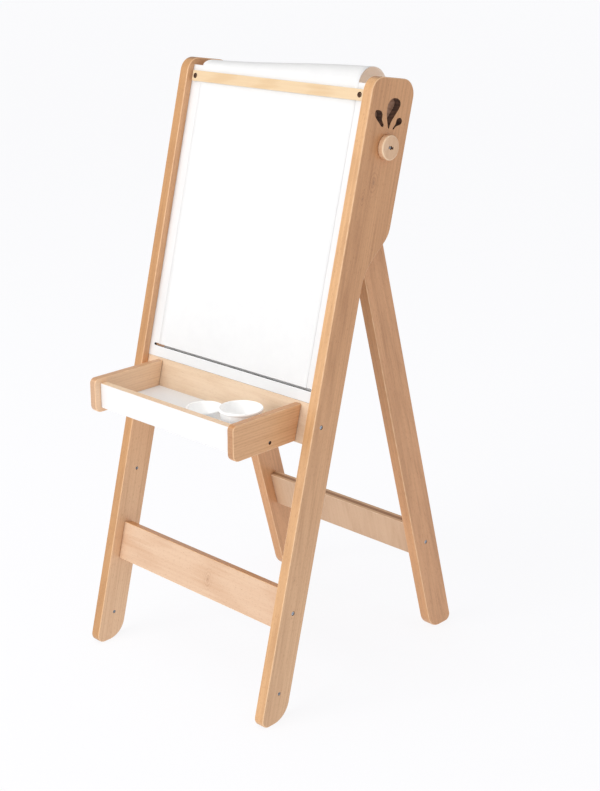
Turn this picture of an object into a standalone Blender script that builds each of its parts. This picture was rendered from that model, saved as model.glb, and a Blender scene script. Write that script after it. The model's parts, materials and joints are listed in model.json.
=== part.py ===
"""Child's wooden easel: leaning front frame with board, tray and paper roll, and folding rear legs.

Metres, +Z up, +X to the easel's right, front towards -Y. The origin is on the floor, in the middle of
the easel's footprint. The front frame is built upright in its own axes (Y through the rails' depth, Z up
along the rails) and leaned back by an empty. The rear frame hangs from an empty on its hinge line.
"""
import math

import bmesh
import bpy

for leftover in list(bpy.data.objects):
    bpy.data.objects.remove(leftover, do_unlink=True)

GAP = 0.0003                # clearance between pieces that touch

# Front frame
WIDTH = 0.4815              # over the two side rails
RAIL_THICK = 0.0215
RAIL_FRONT = -0.0008        # depths are measured from just behind the rails' front edge
RAIL_BACK = 0.0614          # back of the lower part of a rail
RAIL_HEAD_BACK = 0.1103     # back of the upper part of a rail
RAIL_LENGTH = 1.166         # along the rail, at the middle of its top edge
LEAN = math.radians(14.2)   # front frame, back from upright
STEP_SLOPE = math.radians(36)
STEP_BOTTOM = 0.8312        # height along the rail where the step starts
TOP_SLOPE = math.radians(6)
INSIDE = WIDTH / 2 - RAIL_THICK

# Rear frame
PIVOT_DEPTH = 0.079         # hinge line behind the rails' front edge
PIVOT_HEIGHT = 0.903        # hinge line up along the rails
SPLAY = math.radians(15.7)  # rear legs, away from upright
LEG_DEPTH = 0.062
LEG_THICK = 0.023
LEG_HEAD = 0.030            # leg above the hinge line
WASHER_GAP = 0.0015
LEG_OUTSIDE = INSIDE - WASHER_GAP
LEG_INSIDE = LEG_OUTSIDE - LEG_THICK
STOP_DEPTH = 0.042          # plane where the leg heads stop against the cross beam

# Board, beams and stretchers, across the front frame (depth front to back, height along the rails)
BOARD_FRONT, BOARD_BACK = 0.0139, 0.0189
BOARD_BOTTOM, BOARD_TOP = 0.5900, 1.1480
GROOVE = 0.004
SLOT_HEIGHT, SLOT_THICK, SLOT_WIDTH = 0.6131, 0.0030, 0.416
CLAMP_FRONT, CLAMP_BACK = 0.0080, 0.0125
CLAMP_BOTTOM, CLAMP_TOP, CLAMP_WIDTH = 1.1172, 1.1370, 0.428
CLAMP_SCREW_X = 0.206
TOP_BEAM = (BOARD_BACK + GAP, 0.0382, 1.1040, 1.1440)   # front, back, bottom, top
STOP_BEAM = (BOARD_BACK + GAP, STOP_DEPTH - GAP, 0.8900, 0.9350)
TRAY_BEAM = (0.0136, 0.0256, 0.5165, BOARD_BOTTOM - GAP)
FRONT_STRETCHER = (0.0200, 0.0400, 0.1788, 0.2528)
REAR_STRETCHER = (-0.0090, 0.0090, -0.7190, -0.6440)

# Tray, level, in front of the tray beam
TRAY_HALF = 0.191
TRAY_SIDE_THICK = 0.015
TRAY_FRONT, TRAY_BOTTOM, TRAY_TOP = -0.010, 0.499, 0.565
PANEL_FRONT, PANEL_BACK, PANEL_BOTTOM, PANEL_TOP = 0.0030, 0.0177, 0.5080, 0.5555
FLOOR_BOTTOM, FLOOR_TOP = 0.5085, 0.5175
LARGE_CUP_AT = (0.1259, 0.0715)
SMALL_CUP_AT = (0.0388, 0.0660)

# Paper roll on its dowel, and the sheet that comes off it
ROLL_DEPTH, ROLL_HEIGHT = 0.0592, 1.0482
ROLL_RADIUS = 0.0235
DOWEL_RADIUS = 0.010
PAPER_WIDTH = 0.390
SHEET_THICK = 0.0008
ARCH_HEIGHT, ARCH_HALF, ARCH_RISE = 1.1475, 0.0373, 0.0330     # where the sheet bends over the top
KNOB_RADIUS, KNOB_THICK = 0.022, 0.012

# Rounded corners
RAIL_TOE, RAIL_HEEL = 0.016, 0.040          # front and back corner of a rail's foot
LEG_TOE, LEG_HEEL = 0.036, 0.012            # front and back corner of a leg's foot
EDGE_ROUND = 0.002          # rounding of the wood's edges

# Where the hinge line and the middle of the footprint are, from the foot of the rails' front edge
PIVOT_Y = PIVOT_HEIGHT * math.sin(LEAN) + PIVOT_DEPTH * math.cos(LEAN)
PIVOT_Z = PIVOT_HEIGHT * math.cos(LEAN) - PIVOT_DEPTH * math.sin(LEAN)
HEEL_Y = (PIVOT_Y + PIVOT_Z * math.tan(SPLAY) + LEG_DEPTH / 2 / math.cos(SPLAY)
          - LEG_HEEL * ((1 + math.sin(SPLAY)) / math.cos(SPLAY) - 1))
MIDDLE_Y = (HEEL_Y + TRAY_FRONT) / 2


def material(name, colour, roughness, metallic=0.0):
    """A Principled material for one kind of piece."""
    made = bpy.data.materials.new(name)
    made.use_nodes = True
    shader = made.node_tree.nodes["Principled BSDF"]
    shader.inputs["Base Color"].default_value = (*colour, 1.0)
    shader.inputs["Roughness"].default_value = roughness
    shader.inputs["Metallic"].default_value = metallic
    return made


BEECH = material("beech", (0.66, 0.41, 0.23), 0.55)
PLY = material("ply", (0.70, 0.48, 0.30), 0.55)
PINE = material("pine", (0.90, 0.75, 0.52), 0.55)
WHITE_BOARD = material("white_board", (0.93, 0.93, 0.93), 0.25)
PAPER = material("paper", (0.95, 0.95, 0.94), 0.80)
CARD = material("card", (0.55, 0.42, 0.28), 0.85)
STEEL = material("steel", (0.55, 0.56, 0.58), 0.30, 1.0)
NYLON = material("nylon", (0.90, 0.90, 0.88), 0.45)
CUP_WHITE = material("cup_white", (0.93, 0.93, 0.92), 0.35)


def empty(name, parent=None, location=(0, 0, 0), tilt=0.0):
    """An empty that carries a group of pieces, turned by tilt about X."""
    made = bpy.data.objects.new(name, None)
    bpy.context.collection.objects.link(made)
    made.parent = parent
    made.location = location
    made.rotation_euler = (tilt, 0, 0)
    return made


def piece(name, mesh, parent, finish):
    """An object for a bmesh, smooth on its round faces and with its own material."""
    bmesh.ops.recalc_face_normals(mesh, faces=mesh.faces)
    data = bpy.data.meshes.new(name)
    mesh.to_mesh(data)
    mesh.free()
    data.shade_smooth()
    data.set_sharp_from_angle(angle=math.radians(35))
    data.materials.append(finish)
    made = bpy.data.objects.new(name, data)
    bpy.context.collection.objects.link(made)
    made.parent = parent
    return made


def round_edges(item, width=EDGE_ROUND, segments=2):
    """Round the sharp edges of a piece of wood."""
    bevel = item.modifiers.new("edge rounding", "BEVEL")
    bevel.width = width
    bevel.segments = segments
    bevel.limit_method = "ANGLE"
    bevel.angle_limit = math.radians(45)
    return item


def arc(centre, radius, start, end, steps):
    """Points along an arc, from the start angle to the end angle in radians."""
    turns = [start + (end - start) * step / steps for step in range(steps + 1)]
    return [(centre[0] + radius * math.cos(turn), centre[1] + radius * math.sin(turn)) for turn in turns]


def rounded(corners):
    """An outline through (y, z, radius, steps) corners, each rounded with its own radius."""
    points = []
    for index, (y, z, radius, steps) in enumerate(corners):
        if radius == 0:
            points.append((y, z))
            continue
        before, after = corners[index - 1], corners[(index + 1) % len(corners)]
        into = math.atan2(z - before[1], y - before[0])
        out = math.atan2(after[1] - z, after[0] - y)
        turn = (out - into + math.pi) % (2 * math.pi) - math.pi
        reach = radius * math.tan(abs(turn) / 2)
        side = math.copysign(math.pi / 2, turn)
        start = (y - reach * math.cos(into), z - reach * math.sin(into))
        centre = (start[0] + radius * math.cos(into + side), start[1] + radius * math.sin(into + side))
        points += arc(centre, radius, into - side, into - side + turn, steps)
    return points


def slab(outline, low, high):
    """A bmesh of a Y-Z outline extruded along X from low to high."""
    mesh = bmesh.new()
    near = [mesh.verts.new((low, y, z)) for y, z in outline]
    far = [mesh.verts.new((high, y, z)) for y, z in outline]
    mesh.faces.new(near)
    mesh.faces.new(reversed(far))
    for index in range(len(outline)):
        after = (index + 1) % len(outline)
        mesh.faces.new((near[index], far[index], far[after], near[after]))
    return mesh


def box(low, high):
    """A bmesh of a box between two corners."""
    outline = [(low[1], low[2]), (high[1], low[2]), (high[1], high[2]), (low[1], high[2])]
    return slab(outline, low[0], high[0])


def cross_bar(sizes, half):
    """A bmesh of a bar across the easel: (front, back, bottom, top), out to half either side."""
    front, back, bottom, top = sizes
    return box((-half, front, bottom), (half, back, top))


def turned(profile, segments, axis="Z", centre=(0, 0, 0)):
    """A bmesh of an (along, radius) profile turned about an axis; ends at radius 0 close it."""
    mesh = bmesh.new()
    rings = []
    for along, radius in profile:
        ring = []
        for step in range(segments if radius > 0 else 1):
            turn = 2 * math.pi * step / segments
            across = (radius * math.cos(turn), radius * math.sin(turn))
            place = {"X": (along, *across), "Y": (across[1], along, across[0]), "Z": (*across, along)}[axis]
            ring.append(mesh.verts.new([place[i] + centre[i] for i in range(3)]))
        rings.append(ring)
    closed = profile[0][1] > 0
    for index in range(len(rings) if closed else len(rings) - 1):
        join_rings(mesh, rings[index], rings[(index + 1) % len(rings)])
    return mesh


def join_rings(mesh, one, two):
    """Faces between two rings of points, either of which may be a single point."""
    count = max(len(one), len(two))
    for step in range(count):
        corners = [one[step % len(one)], one[(step + 1) % len(one)],
                   two[(step + 1) % len(two)], two[step % len(two)]]
        mesh.faces.new(list(dict.fromkeys(corners)))


def rod(low, high, radius, centre=(0, 0, 0), axis="X", segments=16):
    """A bmesh of a plain round rod from low to high along its axis."""
    return turned([(low, 0), (low, radius), (high, radius), (high, 0)], segments, axis, centre)


def sleeve(low, high, inner, outer, centre=(0, 0, 0), axis="X", segments=16):
    """A bmesh of a round tube from low to high along its axis."""
    profile = [(low, inner), (low, outer), (high, outer), (high, inner)]
    return turned(profile, segments, axis, centre)


def screw(low, high, shank, head, head_length, centre, axis="X", segments=16):
    """A bmesh of a screw with its head at high, or at low if low is the larger."""
    neck = high - math.copysign(head_length, high - low)
    profile = [(low, 0), (low, shank), (neck, shank), (neck, head), (high, head), (high, 0)]
    return turned(profile, segments, axis, centre)


def cut(item, mesh, frame=None):
    """Cut a bmesh's shape out of a piece; the shape is in the piece's own frame unless one is named."""
    cutter = piece(item.name + "_cutter", mesh, frame or item.parent, STEEL)
    cutter.hide_render = True
    cutter.display_type = "WIRE"
    boolean = item.modifiers.new("cut", "BOOLEAN")
    boolean.operation = "DIFFERENCE"
    boolean.object = cutter


def sides():
    """The two sides of the easel, by name and by the sign of X."""
    return (("left", -1), ("right", 1))


def span(sign, inner, outer):
    """Low and high X of something between two distances from the middle, on one side."""
    return (inner, outer) if sign > 0 else (-outer, -inner)


easel = empty("easel", location=(0, -MIDDLE_Y, 0))
front_frame = empty("front_frame", easel, tilt=-LEAN)


# Side rails: wide head, S-shaped step, foot cut to the floor, three drop-shaped pockets in the head.

def rail_outline():
    """A side rail: foot cut to the floor, S-shaped step at the back, round-cornered sloping top."""
    step_top = STEP_BOTTOM + (RAIL_HEAD_BACK - RAIL_BACK) / math.tan(STEP_SLOPE)
    half_top = (RAIL_HEAD_BACK - RAIL_FRONT) / 2 * math.tan(TOP_SLOPE)
    return rounded([
        (RAIL_FRONT, RAIL_FRONT * math.tan(LEAN), RAIL_TOE, 5),
        (RAIL_BACK, RAIL_BACK * math.tan(LEAN), RAIL_HEEL, 8),
        (RAIL_BACK, STEP_BOTTOM, 0.090, 6),
        (RAIL_HEAD_BACK, step_top, 0.050, 6),
        (RAIL_HEAD_BACK, RAIL_LENGTH + half_top, 0.028, 7),
        (RAIL_FRONT, RAIL_LENGTH - half_top, 0.028, 7),
    ])


def drop(head, radius, tip, tip_radius=0.0018, steps=12):
    """Outline of a drop: a round head, drawn out to a small round tip."""
    along = math.atan2(tip[1] - head[1], tip[0] - head[0])
    length = math.dist(head, tip)
    lean = math.acos((radius - tip_radius) / length)
    around_head = arc(head, radius, along + lean, along + 2 * math.pi - lean, steps)
    return around_head + arc(tip, tip_radius, along - lean, along + lean, 4)


DROPS = (((0.0293, 1.1000), 0.0098, (0.0420, 1.0812)),
         ((0.0640, 1.1190), 0.0135, (0.0593, 1.0800)),
         ((0.0837, 1.0958), 0.0080, (0.0728, 1.0808)))
BEAM_DOWELS = {"top_beam": TOP_BEAM, "stop_beam": STOP_BEAM}
DOWEL_PIN = 0.004
STRETCHER_BOLT = (sum(FRONT_STRETCHER[:2]) / 2, sum(FRONT_STRETCHER[2:]) / 2)
TRAY_BEAM_SCREW = (0.0185, 0.5545)
FOOT_INSERT = (0.0305, 0.0660)
SPARE_INSERT = (0.0300, 0.3606)
DROP_DEEP = 0.0140
HEAD_RADIUS, BOLT_RADIUS, HEAD_LENGTH = 0.0037, 0.0025, 0.0030
OUTER = WIDTH / 2


def cut_bolt_hole(item, sign, inside, outside, at):
    """Cut a hole right through for a bolt, with a counterbore for its head on the outside."""
    centre = (0, *at)
    cut(item, rod(*span(sign, inside - 0.001, outside + 0.001), BOLT_RADIUS + GAP, centre))
    cut(item, rod(*span(sign, outside - HEAD_LENGTH - 2 * GAP, outside + 0.001), HEAD_RADIUS + GAP, centre))


for side, sign in sides():
    rail = round_edges(piece(f"{side}_rail", slab(rail_outline(), *span(sign, INSIDE, OUTER)),
                             front_frame, BEECH), 0.0022)
    groove = [(BOARD_FRONT - GAP, BOARD_BOTTOM - GAP), (BOARD_BACK + GAP, BOARD_BOTTOM - GAP),
              (BOARD_BACK + GAP, BOARD_TOP + GAP), (BOARD_FRONT - GAP, BOARD_TOP + GAP)]
    cut(rail, slab(groove, *span(sign, INSIDE - 0.001, INSIDE + GROOVE + GAP)))
    for head, radius, tip in DROPS:
        cut(rail, slab(drop(head, radius, tip), *span(sign, OUTER - DROP_DEEP, OUTER + 0.001)))
    cut(rail, rod(*span(sign, INSIDE - 0.001, OUTER + 0.001), DOWEL_RADIUS + GAP,
                  (0, ROLL_DEPTH, ROLL_HEIGHT), segments=24))
    cut(rail, rod(*span(sign, INSIDE - 0.001, INSIDE + 0.0140), 0.0063, (0, PIVOT_DEPTH, PIVOT_HEIGHT)))
    for beam in BEAM_DOWELS.values():
        at = (0, (beam[0] + beam[1]) / 2, (beam[2] + beam[3]) / 2)
        cut(rail, rod(*span(sign, INSIDE - 0.001, INSIDE + 0.0125), DOWEL_PIN + GAP, at, segments=12))
    for at in (STRETCHER_BOLT, TRAY_BEAM_SCREW):
        cut_bolt_hole(rail, sign, INSIDE, OUTER, at)
    cut(rail, rod(*span(sign, INSIDE - 0.001, OUTER + 0.001), 0.0033, (0, *FOOT_INSERT)))
    cut(rail, rod(*span(sign, INSIDE - 0.001, INSIDE + 0.0125), 0.0033, (0, *SPARE_INSERT)))

    piece(f"{side}_foot_insert", rod(*span(sign, INSIDE + 0.0004, OUTER - 0.0004), 0.0030,
                                     (0, *FOOT_INSERT)), front_frame, STEEL)
    piece(f"{side}_spare_insert", rod(*span(sign, INSIDE + 0.0004, INSIDE + 0.0120), 0.0030,
                                      (0, *SPARE_INSERT)), front_frame, STEEL)


# Cross beams behind the board, on blind dowels.

for name, sizes in BEAM_DOWELS.items():
    beam = round_edges(piece(name, cross_bar(sizes, INSIDE - GAP), front_frame, BEECH))
    at = (0, (sizes[0] + sizes[1]) / 2, (sizes[2] + sizes[3]) / 2)
    for side, sign in sides():
        cut(beam, rod(*span(sign, INSIDE - 0.0185, INSIDE + 0.001), DOWEL_PIN + GAP, at, segments=12))
        piece(f"{name}_dowel_{side}", rod(*span(sign, INSIDE - 0.0180, INSIDE + 0.0120), DOWEL_PIN,
                                          at, segments=12), front_frame, BEECH)
    if name == "top_beam":
        for sign in (-1, 1):
            at = (sign * CLAMP_SCREW_X, 0, (CLAMP_BOTTOM + CLAMP_TOP) / 2)
            cut(beam, rod(sizes[0] - 0.001, 0.0238, 0.0018 + GAP, at, "Y", 12))


# Front stretcher, with a barrel nut let in from the back at each end for the bolt through the rail.

def bolted_bar(name, sizes, half, finish, parent, outside):
    """A stretcher with a bolt and a barrel nut at each end."""
    bar = round_edges(piece(name, cross_bar(sizes, half), parent, finish))
    front, back, bottom, top = sizes
    at = ((front + back) / 2, (bottom + top) / 2)
    nut_x = half - 0.030
    for side, sign in sides():
        cut(bar, rod(*span(sign, half - 0.040, half + 0.001), BOLT_RADIUS + GAP, (0, *at)))
        cut(bar, rod(front + 0.004, back + 0.001, 0.0053, (sign * nut_x, 0, at[1]), "Y"))
        nut = piece(f"{name}_nut_{side}", rod(front + 0.0043, back - 0.0010, 0.0050,
                                              (sign * nut_x, 0, at[1]), "Y"), parent, STEEL)
        cut(nut, rod(*span(sign, nut_x - 0.010, nut_x + 0.010), BOLT_RADIUS + GAP, (0, *at)))
        low, high = sign * (half - 0.038), sign * (outside - 0.0002)
        piece(f"{name}_bolt_{side}", screw(low, high, BOLT_RADIUS, HEAD_RADIUS, HEAD_LENGTH, (0, *at)),
              parent, STEEL)


bolted_bar("front_stretcher", FRONT_STRETCHER, INSIDE - GAP, BEECH, front_frame, OUTER)


# Tray beam below the board: back wall of the tray, screwed through the rails.

tray_beam = round_edges(piece("tray_beam", cross_bar(TRAY_BEAM, INSIDE - GAP), front_frame, PLY), 0.001)
TRAY_SCREW_X = TRAY_HALF - TRAY_SIDE_THICK / 2
TRAY_SCREW_HEIGHT = 0.5500
for side, sign in sides():
    cut(tray_beam, rod(*span(sign, INSIDE - 0.0310, INSIDE + 0.001), BOLT_RADIUS + GAP,
                       (0, *TRAY_BEAM_SCREW)))
    piece(f"tray_beam_screw_{side}",
          screw(sign * (INSIDE - 0.0300), sign * (OUTER - 0.0002), BOLT_RADIUS, HEAD_RADIUS,
                HEAD_LENGTH, (0, *TRAY_BEAM_SCREW)), front_frame, STEEL)
    at = (sign * TRAY_SCREW_X, 0, TRAY_SCREW_HEIGHT)
    cut(tray_beam, rod(TRAY_BEAM[0] - 0.001, TRAY_BEAM[1] + 0.001, 0.0018, at, "Y", 12))
    cut(tray_beam, rod(TRAY_BEAM[1] - 0.0028, TRAY_BEAM[1] + 0.001, 0.0038, at, "Y"))
    piece(f"tray_screw_{side}", screw(-0.0200, TRAY_BEAM[1] - 0.0002, 0.0015, 0.0035, 0.0023, at, "Y", 12),
          front_frame, STEEL)


# White board in the rails' grooves, with the slot that takes the end of the paper.

board = piece("board", box((-INSIDE - GROOVE, BOARD_FRONT, BOARD_BOTTOM),
                           (INSIDE + GROOVE, BOARD_BACK, BOARD_TOP)), front_frame, WHITE_BOARD)
cut(board, box((-SLOT_WIDTH / 2, BOARD_FRONT - 0.001, SLOT_HEIGHT - SLOT_THICK / 2),
               (SLOT_WIDTH / 2, BOARD_BACK + 0.001, SLOT_HEIGHT + SLOT_THICK / 2)))

# Clamp bar across the board's top, with a screw near each end into the top beam.

clamp_bar = round_edges(piece("clamp_bar", cross_bar((CLAMP_FRONT, CLAMP_BACK, CLAMP_BOTTOM, CLAMP_TOP),
                                                     CLAMP_WIDTH / 2), front_frame, PINE), 0.0008)
for side, sign in sides():
    at = (sign * CLAMP_SCREW_X, 0, (CLAMP_BOTTOM + CLAMP_TOP) / 2)
    cut(clamp_bar, rod(CLAMP_FRONT - 0.001, CLAMP_BACK + 0.001, 0.0018 + GAP, at, "Y", 12))
    cut(clamp_bar, rod(CLAMP_FRONT - 0.001, CLAMP_FRONT + 0.0030, 0.0042, at, "Y"))
    cut(board, rod(BOARD_FRONT - 0.001, BOARD_BACK + 0.001, 0.0018 + GAP, at, "Y", 12))
    piece(f"clamp_screw_{side}", screw(0.0235, CLAMP_FRONT + 0.0007, 0.0018, 0.0038, 0.0018, at, "Y", 12),
          front_frame, STEEL)


# Sheet of paper: up from the back of the roll, over the top, under the clamp bar and into the slot.

def sheet_line():
    """Middle line of the sheet, from the roll to its loose end behind the board."""
    half = SHEET_THICK / 2
    face = BOARD_FRONT - GAP - half
    hang = 0.0285
    wrap = ROLL_RADIUS + GAP + half
    start = math.radians(-2.5)
    slot_top = SLOT_HEIGHT + SLOT_THICK / 2
    line = [(ROLL_DEPTH + wrap * math.cos(start), ROLL_HEIGHT + wrap * math.sin(start))]
    line += [(y, ARCH_HEIGHT + (z - ARCH_HEIGHT) * ARCH_RISE / ARCH_HALF)
             for y, z in arc((face + ARCH_HALF, ARCH_HEIGHT), ARCH_HALF, 0, math.pi, 16)]
    line += arc((BOARD_FRONT, slot_top), GAP + half, math.pi, 1.5 * math.pi, 3)
    line += arc((hang - 0.0020, slot_top - GAP - half - 0.0020), 0.0020, math.pi / 2, 0, 3)
    line.append((hang, 0.5750))
    return line


def thick_line(line, thick):
    """Outline of a strip of even thickness along a line."""
    edges = ([], [])
    for index, (y, z) in enumerate(line):
        before, after = line[max(index - 1, 0)], line[min(index + 1, len(line) - 1)]
        length = math.dist(before, after)
        normal = ((before[1] - after[1]) / length, (after[0] - before[0]) / length)
        for edge, way in zip(edges, (0.5, -0.5)):
            edge.append((y + normal[0] * thick * way, z + normal[1] * thick * way))
    return edges[0] + edges[1][::-1]


piece("paper_sheet", slab(thick_line(sheet_line(), SHEET_THICK), -PAPER_WIDTH / 2, PAPER_WIDTH / 2),
      front_frame, PAPER)


# Roll of paper on a card core, turning on a dowel that has a knob screwed to each end.

roll_axis = empty("roll_axis", front_frame, (0, ROLL_DEPTH, ROLL_HEIGHT))
piece("paper_roll", sleeve(-PAPER_WIDTH / 2, PAPER_WIDTH / 2, 0.0143, ROLL_RADIUS, segments=40),
      roll_axis, PAPER)
piece("roll_core", sleeve(-PAPER_WIDTH / 2, PAPER_WIDTH / 2, 0.0120, 0.0140, segments=32), roll_axis, CARD)
dowel = piece("roll_dowel", rod(-OUTER, OUTER, DOWEL_RADIUS, segments=24), roll_axis, BEECH)
for side, sign in sides():
    cut(dowel, rod(*span(sign, OUTER - 0.0230, OUTER + 0.001), 0.0018, segments=12))
    knob = round_edges(piece(f"{side}_knob",
                             rod(*span(sign, OUTER + GAP, OUTER + KNOB_THICK), KNOB_RADIUS, segments=40),
                             roll_axis, BEECH), 0.0025)
    cut(knob, rod(*span(sign, OUTER - 0.001, OUTER + KNOB_THICK + 0.001), 0.0018, segments=12))
    cut(knob, rod(*span(sign, OUTER + KNOB_THICK - 0.0050, OUTER + KNOB_THICK + 0.001), 0.0033))
    piece(f"knob_screw_{side}", screw(sign * (OUTER - 0.0220), sign * (OUTER + KNOB_THICK - 0.0025),
                                      0.0015, 0.0030, 0.0022, (0, 0, 0), segments=12), roll_axis, STEEL)


# Rear frame: two legs inside the rails, hung on a bolt, washer and insert each side.

rear_frame = empty("rear_frame", easel, (0, PIVOT_Y, PIVOT_Z), SPLAY)


def leg_outline():
    """A rear leg: foot cut to the floor, round head with a flat that stops on the cross beam."""
    half = LEG_DEPTH / 2
    opened = LEAN + SPLAY
    toe, heel = [-(PIVOT_Z + depth * math.sin(SPLAY)) / math.cos(SPLAY) for depth in (-half, half)]
    stop_depth = (STOP_DEPTH - PIVOT_DEPTH + LEG_HEAD * math.sin(opened)) / math.cos(opened)
    stop_height = (PIVOT_DEPTH - STOP_DEPTH - half * math.cos(opened)) / math.sin(opened)
    return rounded([
        (-half, toe, LEG_TOE, 8),
        (half, heel, LEG_HEEL, 4),
        (half, LEG_HEAD, 0.028, 7),
        (stop_depth, LEG_HEAD, 0, 0),
        (-half, stop_height, 0, 0),
    ])


for side, sign in sides():
    leg = round_edges(piece(f"{side}_leg", slab(leg_outline(), *span(sign, LEG_INSIDE, LEG_OUTSIDE)),
                            rear_frame, BEECH), 0.0020)
    cut(leg, rod(*span(sign, LEG_INSIDE - 0.001, LEG_OUTSIDE + 0.001), 0.0043))
    cut_bolt_hole(leg, sign, LEG_INSIDE, LEG_OUTSIDE,
                  (sum(REAR_STRETCHER[:2]) / 2, sum(REAR_STRETCHER[2:]) / 2))
    hinge = (0, PIVOT_DEPTH, PIVOT_HEIGHT)
    piece(f"pivot_bolt_{side}", screw(sign * (INSIDE + 0.0130), sign * (LEG_INSIDE - 0.0045), 0.0040,
                                      0.0070, 0.0042, hinge), front_frame, STEEL)
    piece(f"pivot_washer_{side}", sleeve(*span(sign, LEG_OUTSIDE + GAP, INSIDE - GAP), 0.0043, 0.0100,
                                         hinge, segments=24), front_frame, NYLON)
    piece(f"pivot_insert_{side}", sleeve(*span(sign, INSIDE + GAP, INSIDE + 0.0130), 0.0043, 0.0060,
                                         hinge), front_frame, STEEL)

bolted_bar("rear_stretcher", REAR_STRETCHER, LEG_INSIDE - GAP, PLY, rear_frame, LEG_OUTSIDE)


# Tray: two sides, front panel and floor, level, against the tray beam.

def beam_face(height):
    """Y of the tray beam's sloping front face at a height above the floor."""
    return (TRAY_BEAM[0] - GAP + height * math.sin(LEAN)) / math.cos(LEAN)


tray = empty("tray", easel)
side_outline = rounded([
    (TRAY_FRONT, TRAY_BOTTOM, 0.014, 6),
    (beam_face(TRAY_BOTTOM), TRAY_BOTTOM, 0, 0),
    (beam_face(TRAY_TOP), TRAY_TOP, 0, 0),
    (TRAY_FRONT, TRAY_TOP, 0.010, 6),
])
FLOOR_SCREW = (0.0775, (FLOOR_BOTTOM + FLOOR_TOP) / 2)
tray_inside = TRAY_HALF - TRAY_SIDE_THICK
floor_outline = [(PANEL_BACK + GAP, FLOOR_BOTTOM), (beam_face(FLOOR_BOTTOM), FLOOR_BOTTOM),
                 (beam_face(FLOOR_TOP), FLOOR_TOP), (PANEL_BACK + GAP, FLOOR_TOP)]
tray_floor = piece("tray_floor", slab(floor_outline, GAP - tray_inside, tray_inside - GAP), tray,
                   WHITE_BOARD)
round_edges(piece("tray_front", cross_bar((PANEL_FRONT, PANEL_BACK, PANEL_BOTTOM, PANEL_TOP),
                                          tray_inside - GAP), tray, WHITE_BOARD), 0.0008)
for side, sign in sides():
    tray_side = round_edges(piece(f"tray_side_{side}",
                                  slab(side_outline, *span(sign, tray_inside, TRAY_HALF)), tray, BEECH))
    cut(tray_side, rod(*span(sign, tray_inside - 0.001, TRAY_HALF + 0.001), 0.0018, (0, *FLOOR_SCREW),
                       segments=12))
    cut(tray_side, rod(*span(sign, TRAY_HALF - 0.0060, TRAY_HALF + 0.001), 0.0033, (0, *FLOOR_SCREW)))
    cut(tray_floor, rod(*span(sign, tray_inside - 0.0250, TRAY_HALF), 0.0018, (0, *FLOOR_SCREW),
                        segments=12))
    piece(f"floor_screw_{side}", screw(sign * (tray_inside - 0.0240), sign * (TRAY_HALF - 0.0030),
                                       0.0015, 0.0030, 0.0027, (0, *FLOOR_SCREW), segments=12),
          tray, STEEL)
    cut(tray_side, rod(-0.0205, TRAY_BEAM[0] + 0.001, 0.0018,
                       (sign * TRAY_SCREW_X, 0, TRAY_SCREW_HEIGHT), "Y", 12), front_frame)


# Two open cups that stand in the tray.

def cup(name, at, rim, height, base, lip=0.0055, wall=0.0024):
    """A turned cup with a thick round lip that stands out from its tapering wall."""
    neck = rim - 0.0030
    inside = rim - 0.0042
    profile = [(0, 0), (0, base - 0.002), (0.002, base), (height - lip, neck), (height - lip, rim - 0.0008),
               (height - lip + 0.0008, rim), (height - 0.0016, rim), (height - 0.0005, rim - 0.0007),
               (height, rim - 0.0020), (height - 0.0005, inside + 0.0007), (height - 0.0018, inside),
               (height - lip - 0.0010, neck - wall), (0.0080, base - wall), (0.0040, base - wall - 0.0024),
               (0.0030, base - wall - 0.0070), (0.0030, 0)]
    made = piece(name, turned(profile, 40), tray, CUP_WHITE)
    made.location = (*at, FLOOR_TOP + GAP)
    return made


cup("large_cup", LARGE_CUP_AT, 0.0400, 0.0462, 0.0330)
cup("small_cup", SMALL_CUP_AT, 0.0345, 0.0277, 0.0290)
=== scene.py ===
"""Child's wooden easel, finished piece by piece in the order in which it is put together."""

import json
import math

import bmesh
import bpy
from mathutils import Matrix, Vector


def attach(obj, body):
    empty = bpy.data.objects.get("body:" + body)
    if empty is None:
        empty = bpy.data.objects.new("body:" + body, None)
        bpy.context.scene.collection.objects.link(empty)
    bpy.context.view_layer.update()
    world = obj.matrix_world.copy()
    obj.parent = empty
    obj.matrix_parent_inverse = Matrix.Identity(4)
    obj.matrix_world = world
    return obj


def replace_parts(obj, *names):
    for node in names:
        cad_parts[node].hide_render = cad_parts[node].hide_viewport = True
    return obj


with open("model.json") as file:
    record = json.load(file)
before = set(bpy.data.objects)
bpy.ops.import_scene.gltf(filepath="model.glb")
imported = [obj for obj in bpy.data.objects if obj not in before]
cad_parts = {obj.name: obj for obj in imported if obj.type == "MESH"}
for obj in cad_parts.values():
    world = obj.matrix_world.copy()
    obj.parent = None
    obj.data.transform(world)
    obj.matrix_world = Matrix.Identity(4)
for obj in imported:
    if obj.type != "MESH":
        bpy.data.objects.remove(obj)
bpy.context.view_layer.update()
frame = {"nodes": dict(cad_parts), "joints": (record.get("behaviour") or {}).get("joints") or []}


# Camera and studio: the camera stands to the right of the easel and looks down on it a little. The
# easel stands on a pale floor that glows slightly, so its shadows stay faint, under a wide soft light
# from the front and left and a white surround.

camera_data = bpy.data.cameras.new("camera")
camera_data.lens = 66.54
camera_data.shift_x = -0.0108
camera_data.shift_y = -0.0375
camera_data.clip_end = 200
camera = bpy.data.objects.new("camera", camera_data)
camera.location = (1.86225, -1.87171, 1.40852)
camera.rotation_euler = (math.radians(90 - 17.7471), 0, math.radians(43.3972))
bpy.context.collection.objects.link(camera)
bpy.context.scene.camera = camera
bpy.context.scene.view_settings.view_transform = "Standard"


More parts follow.
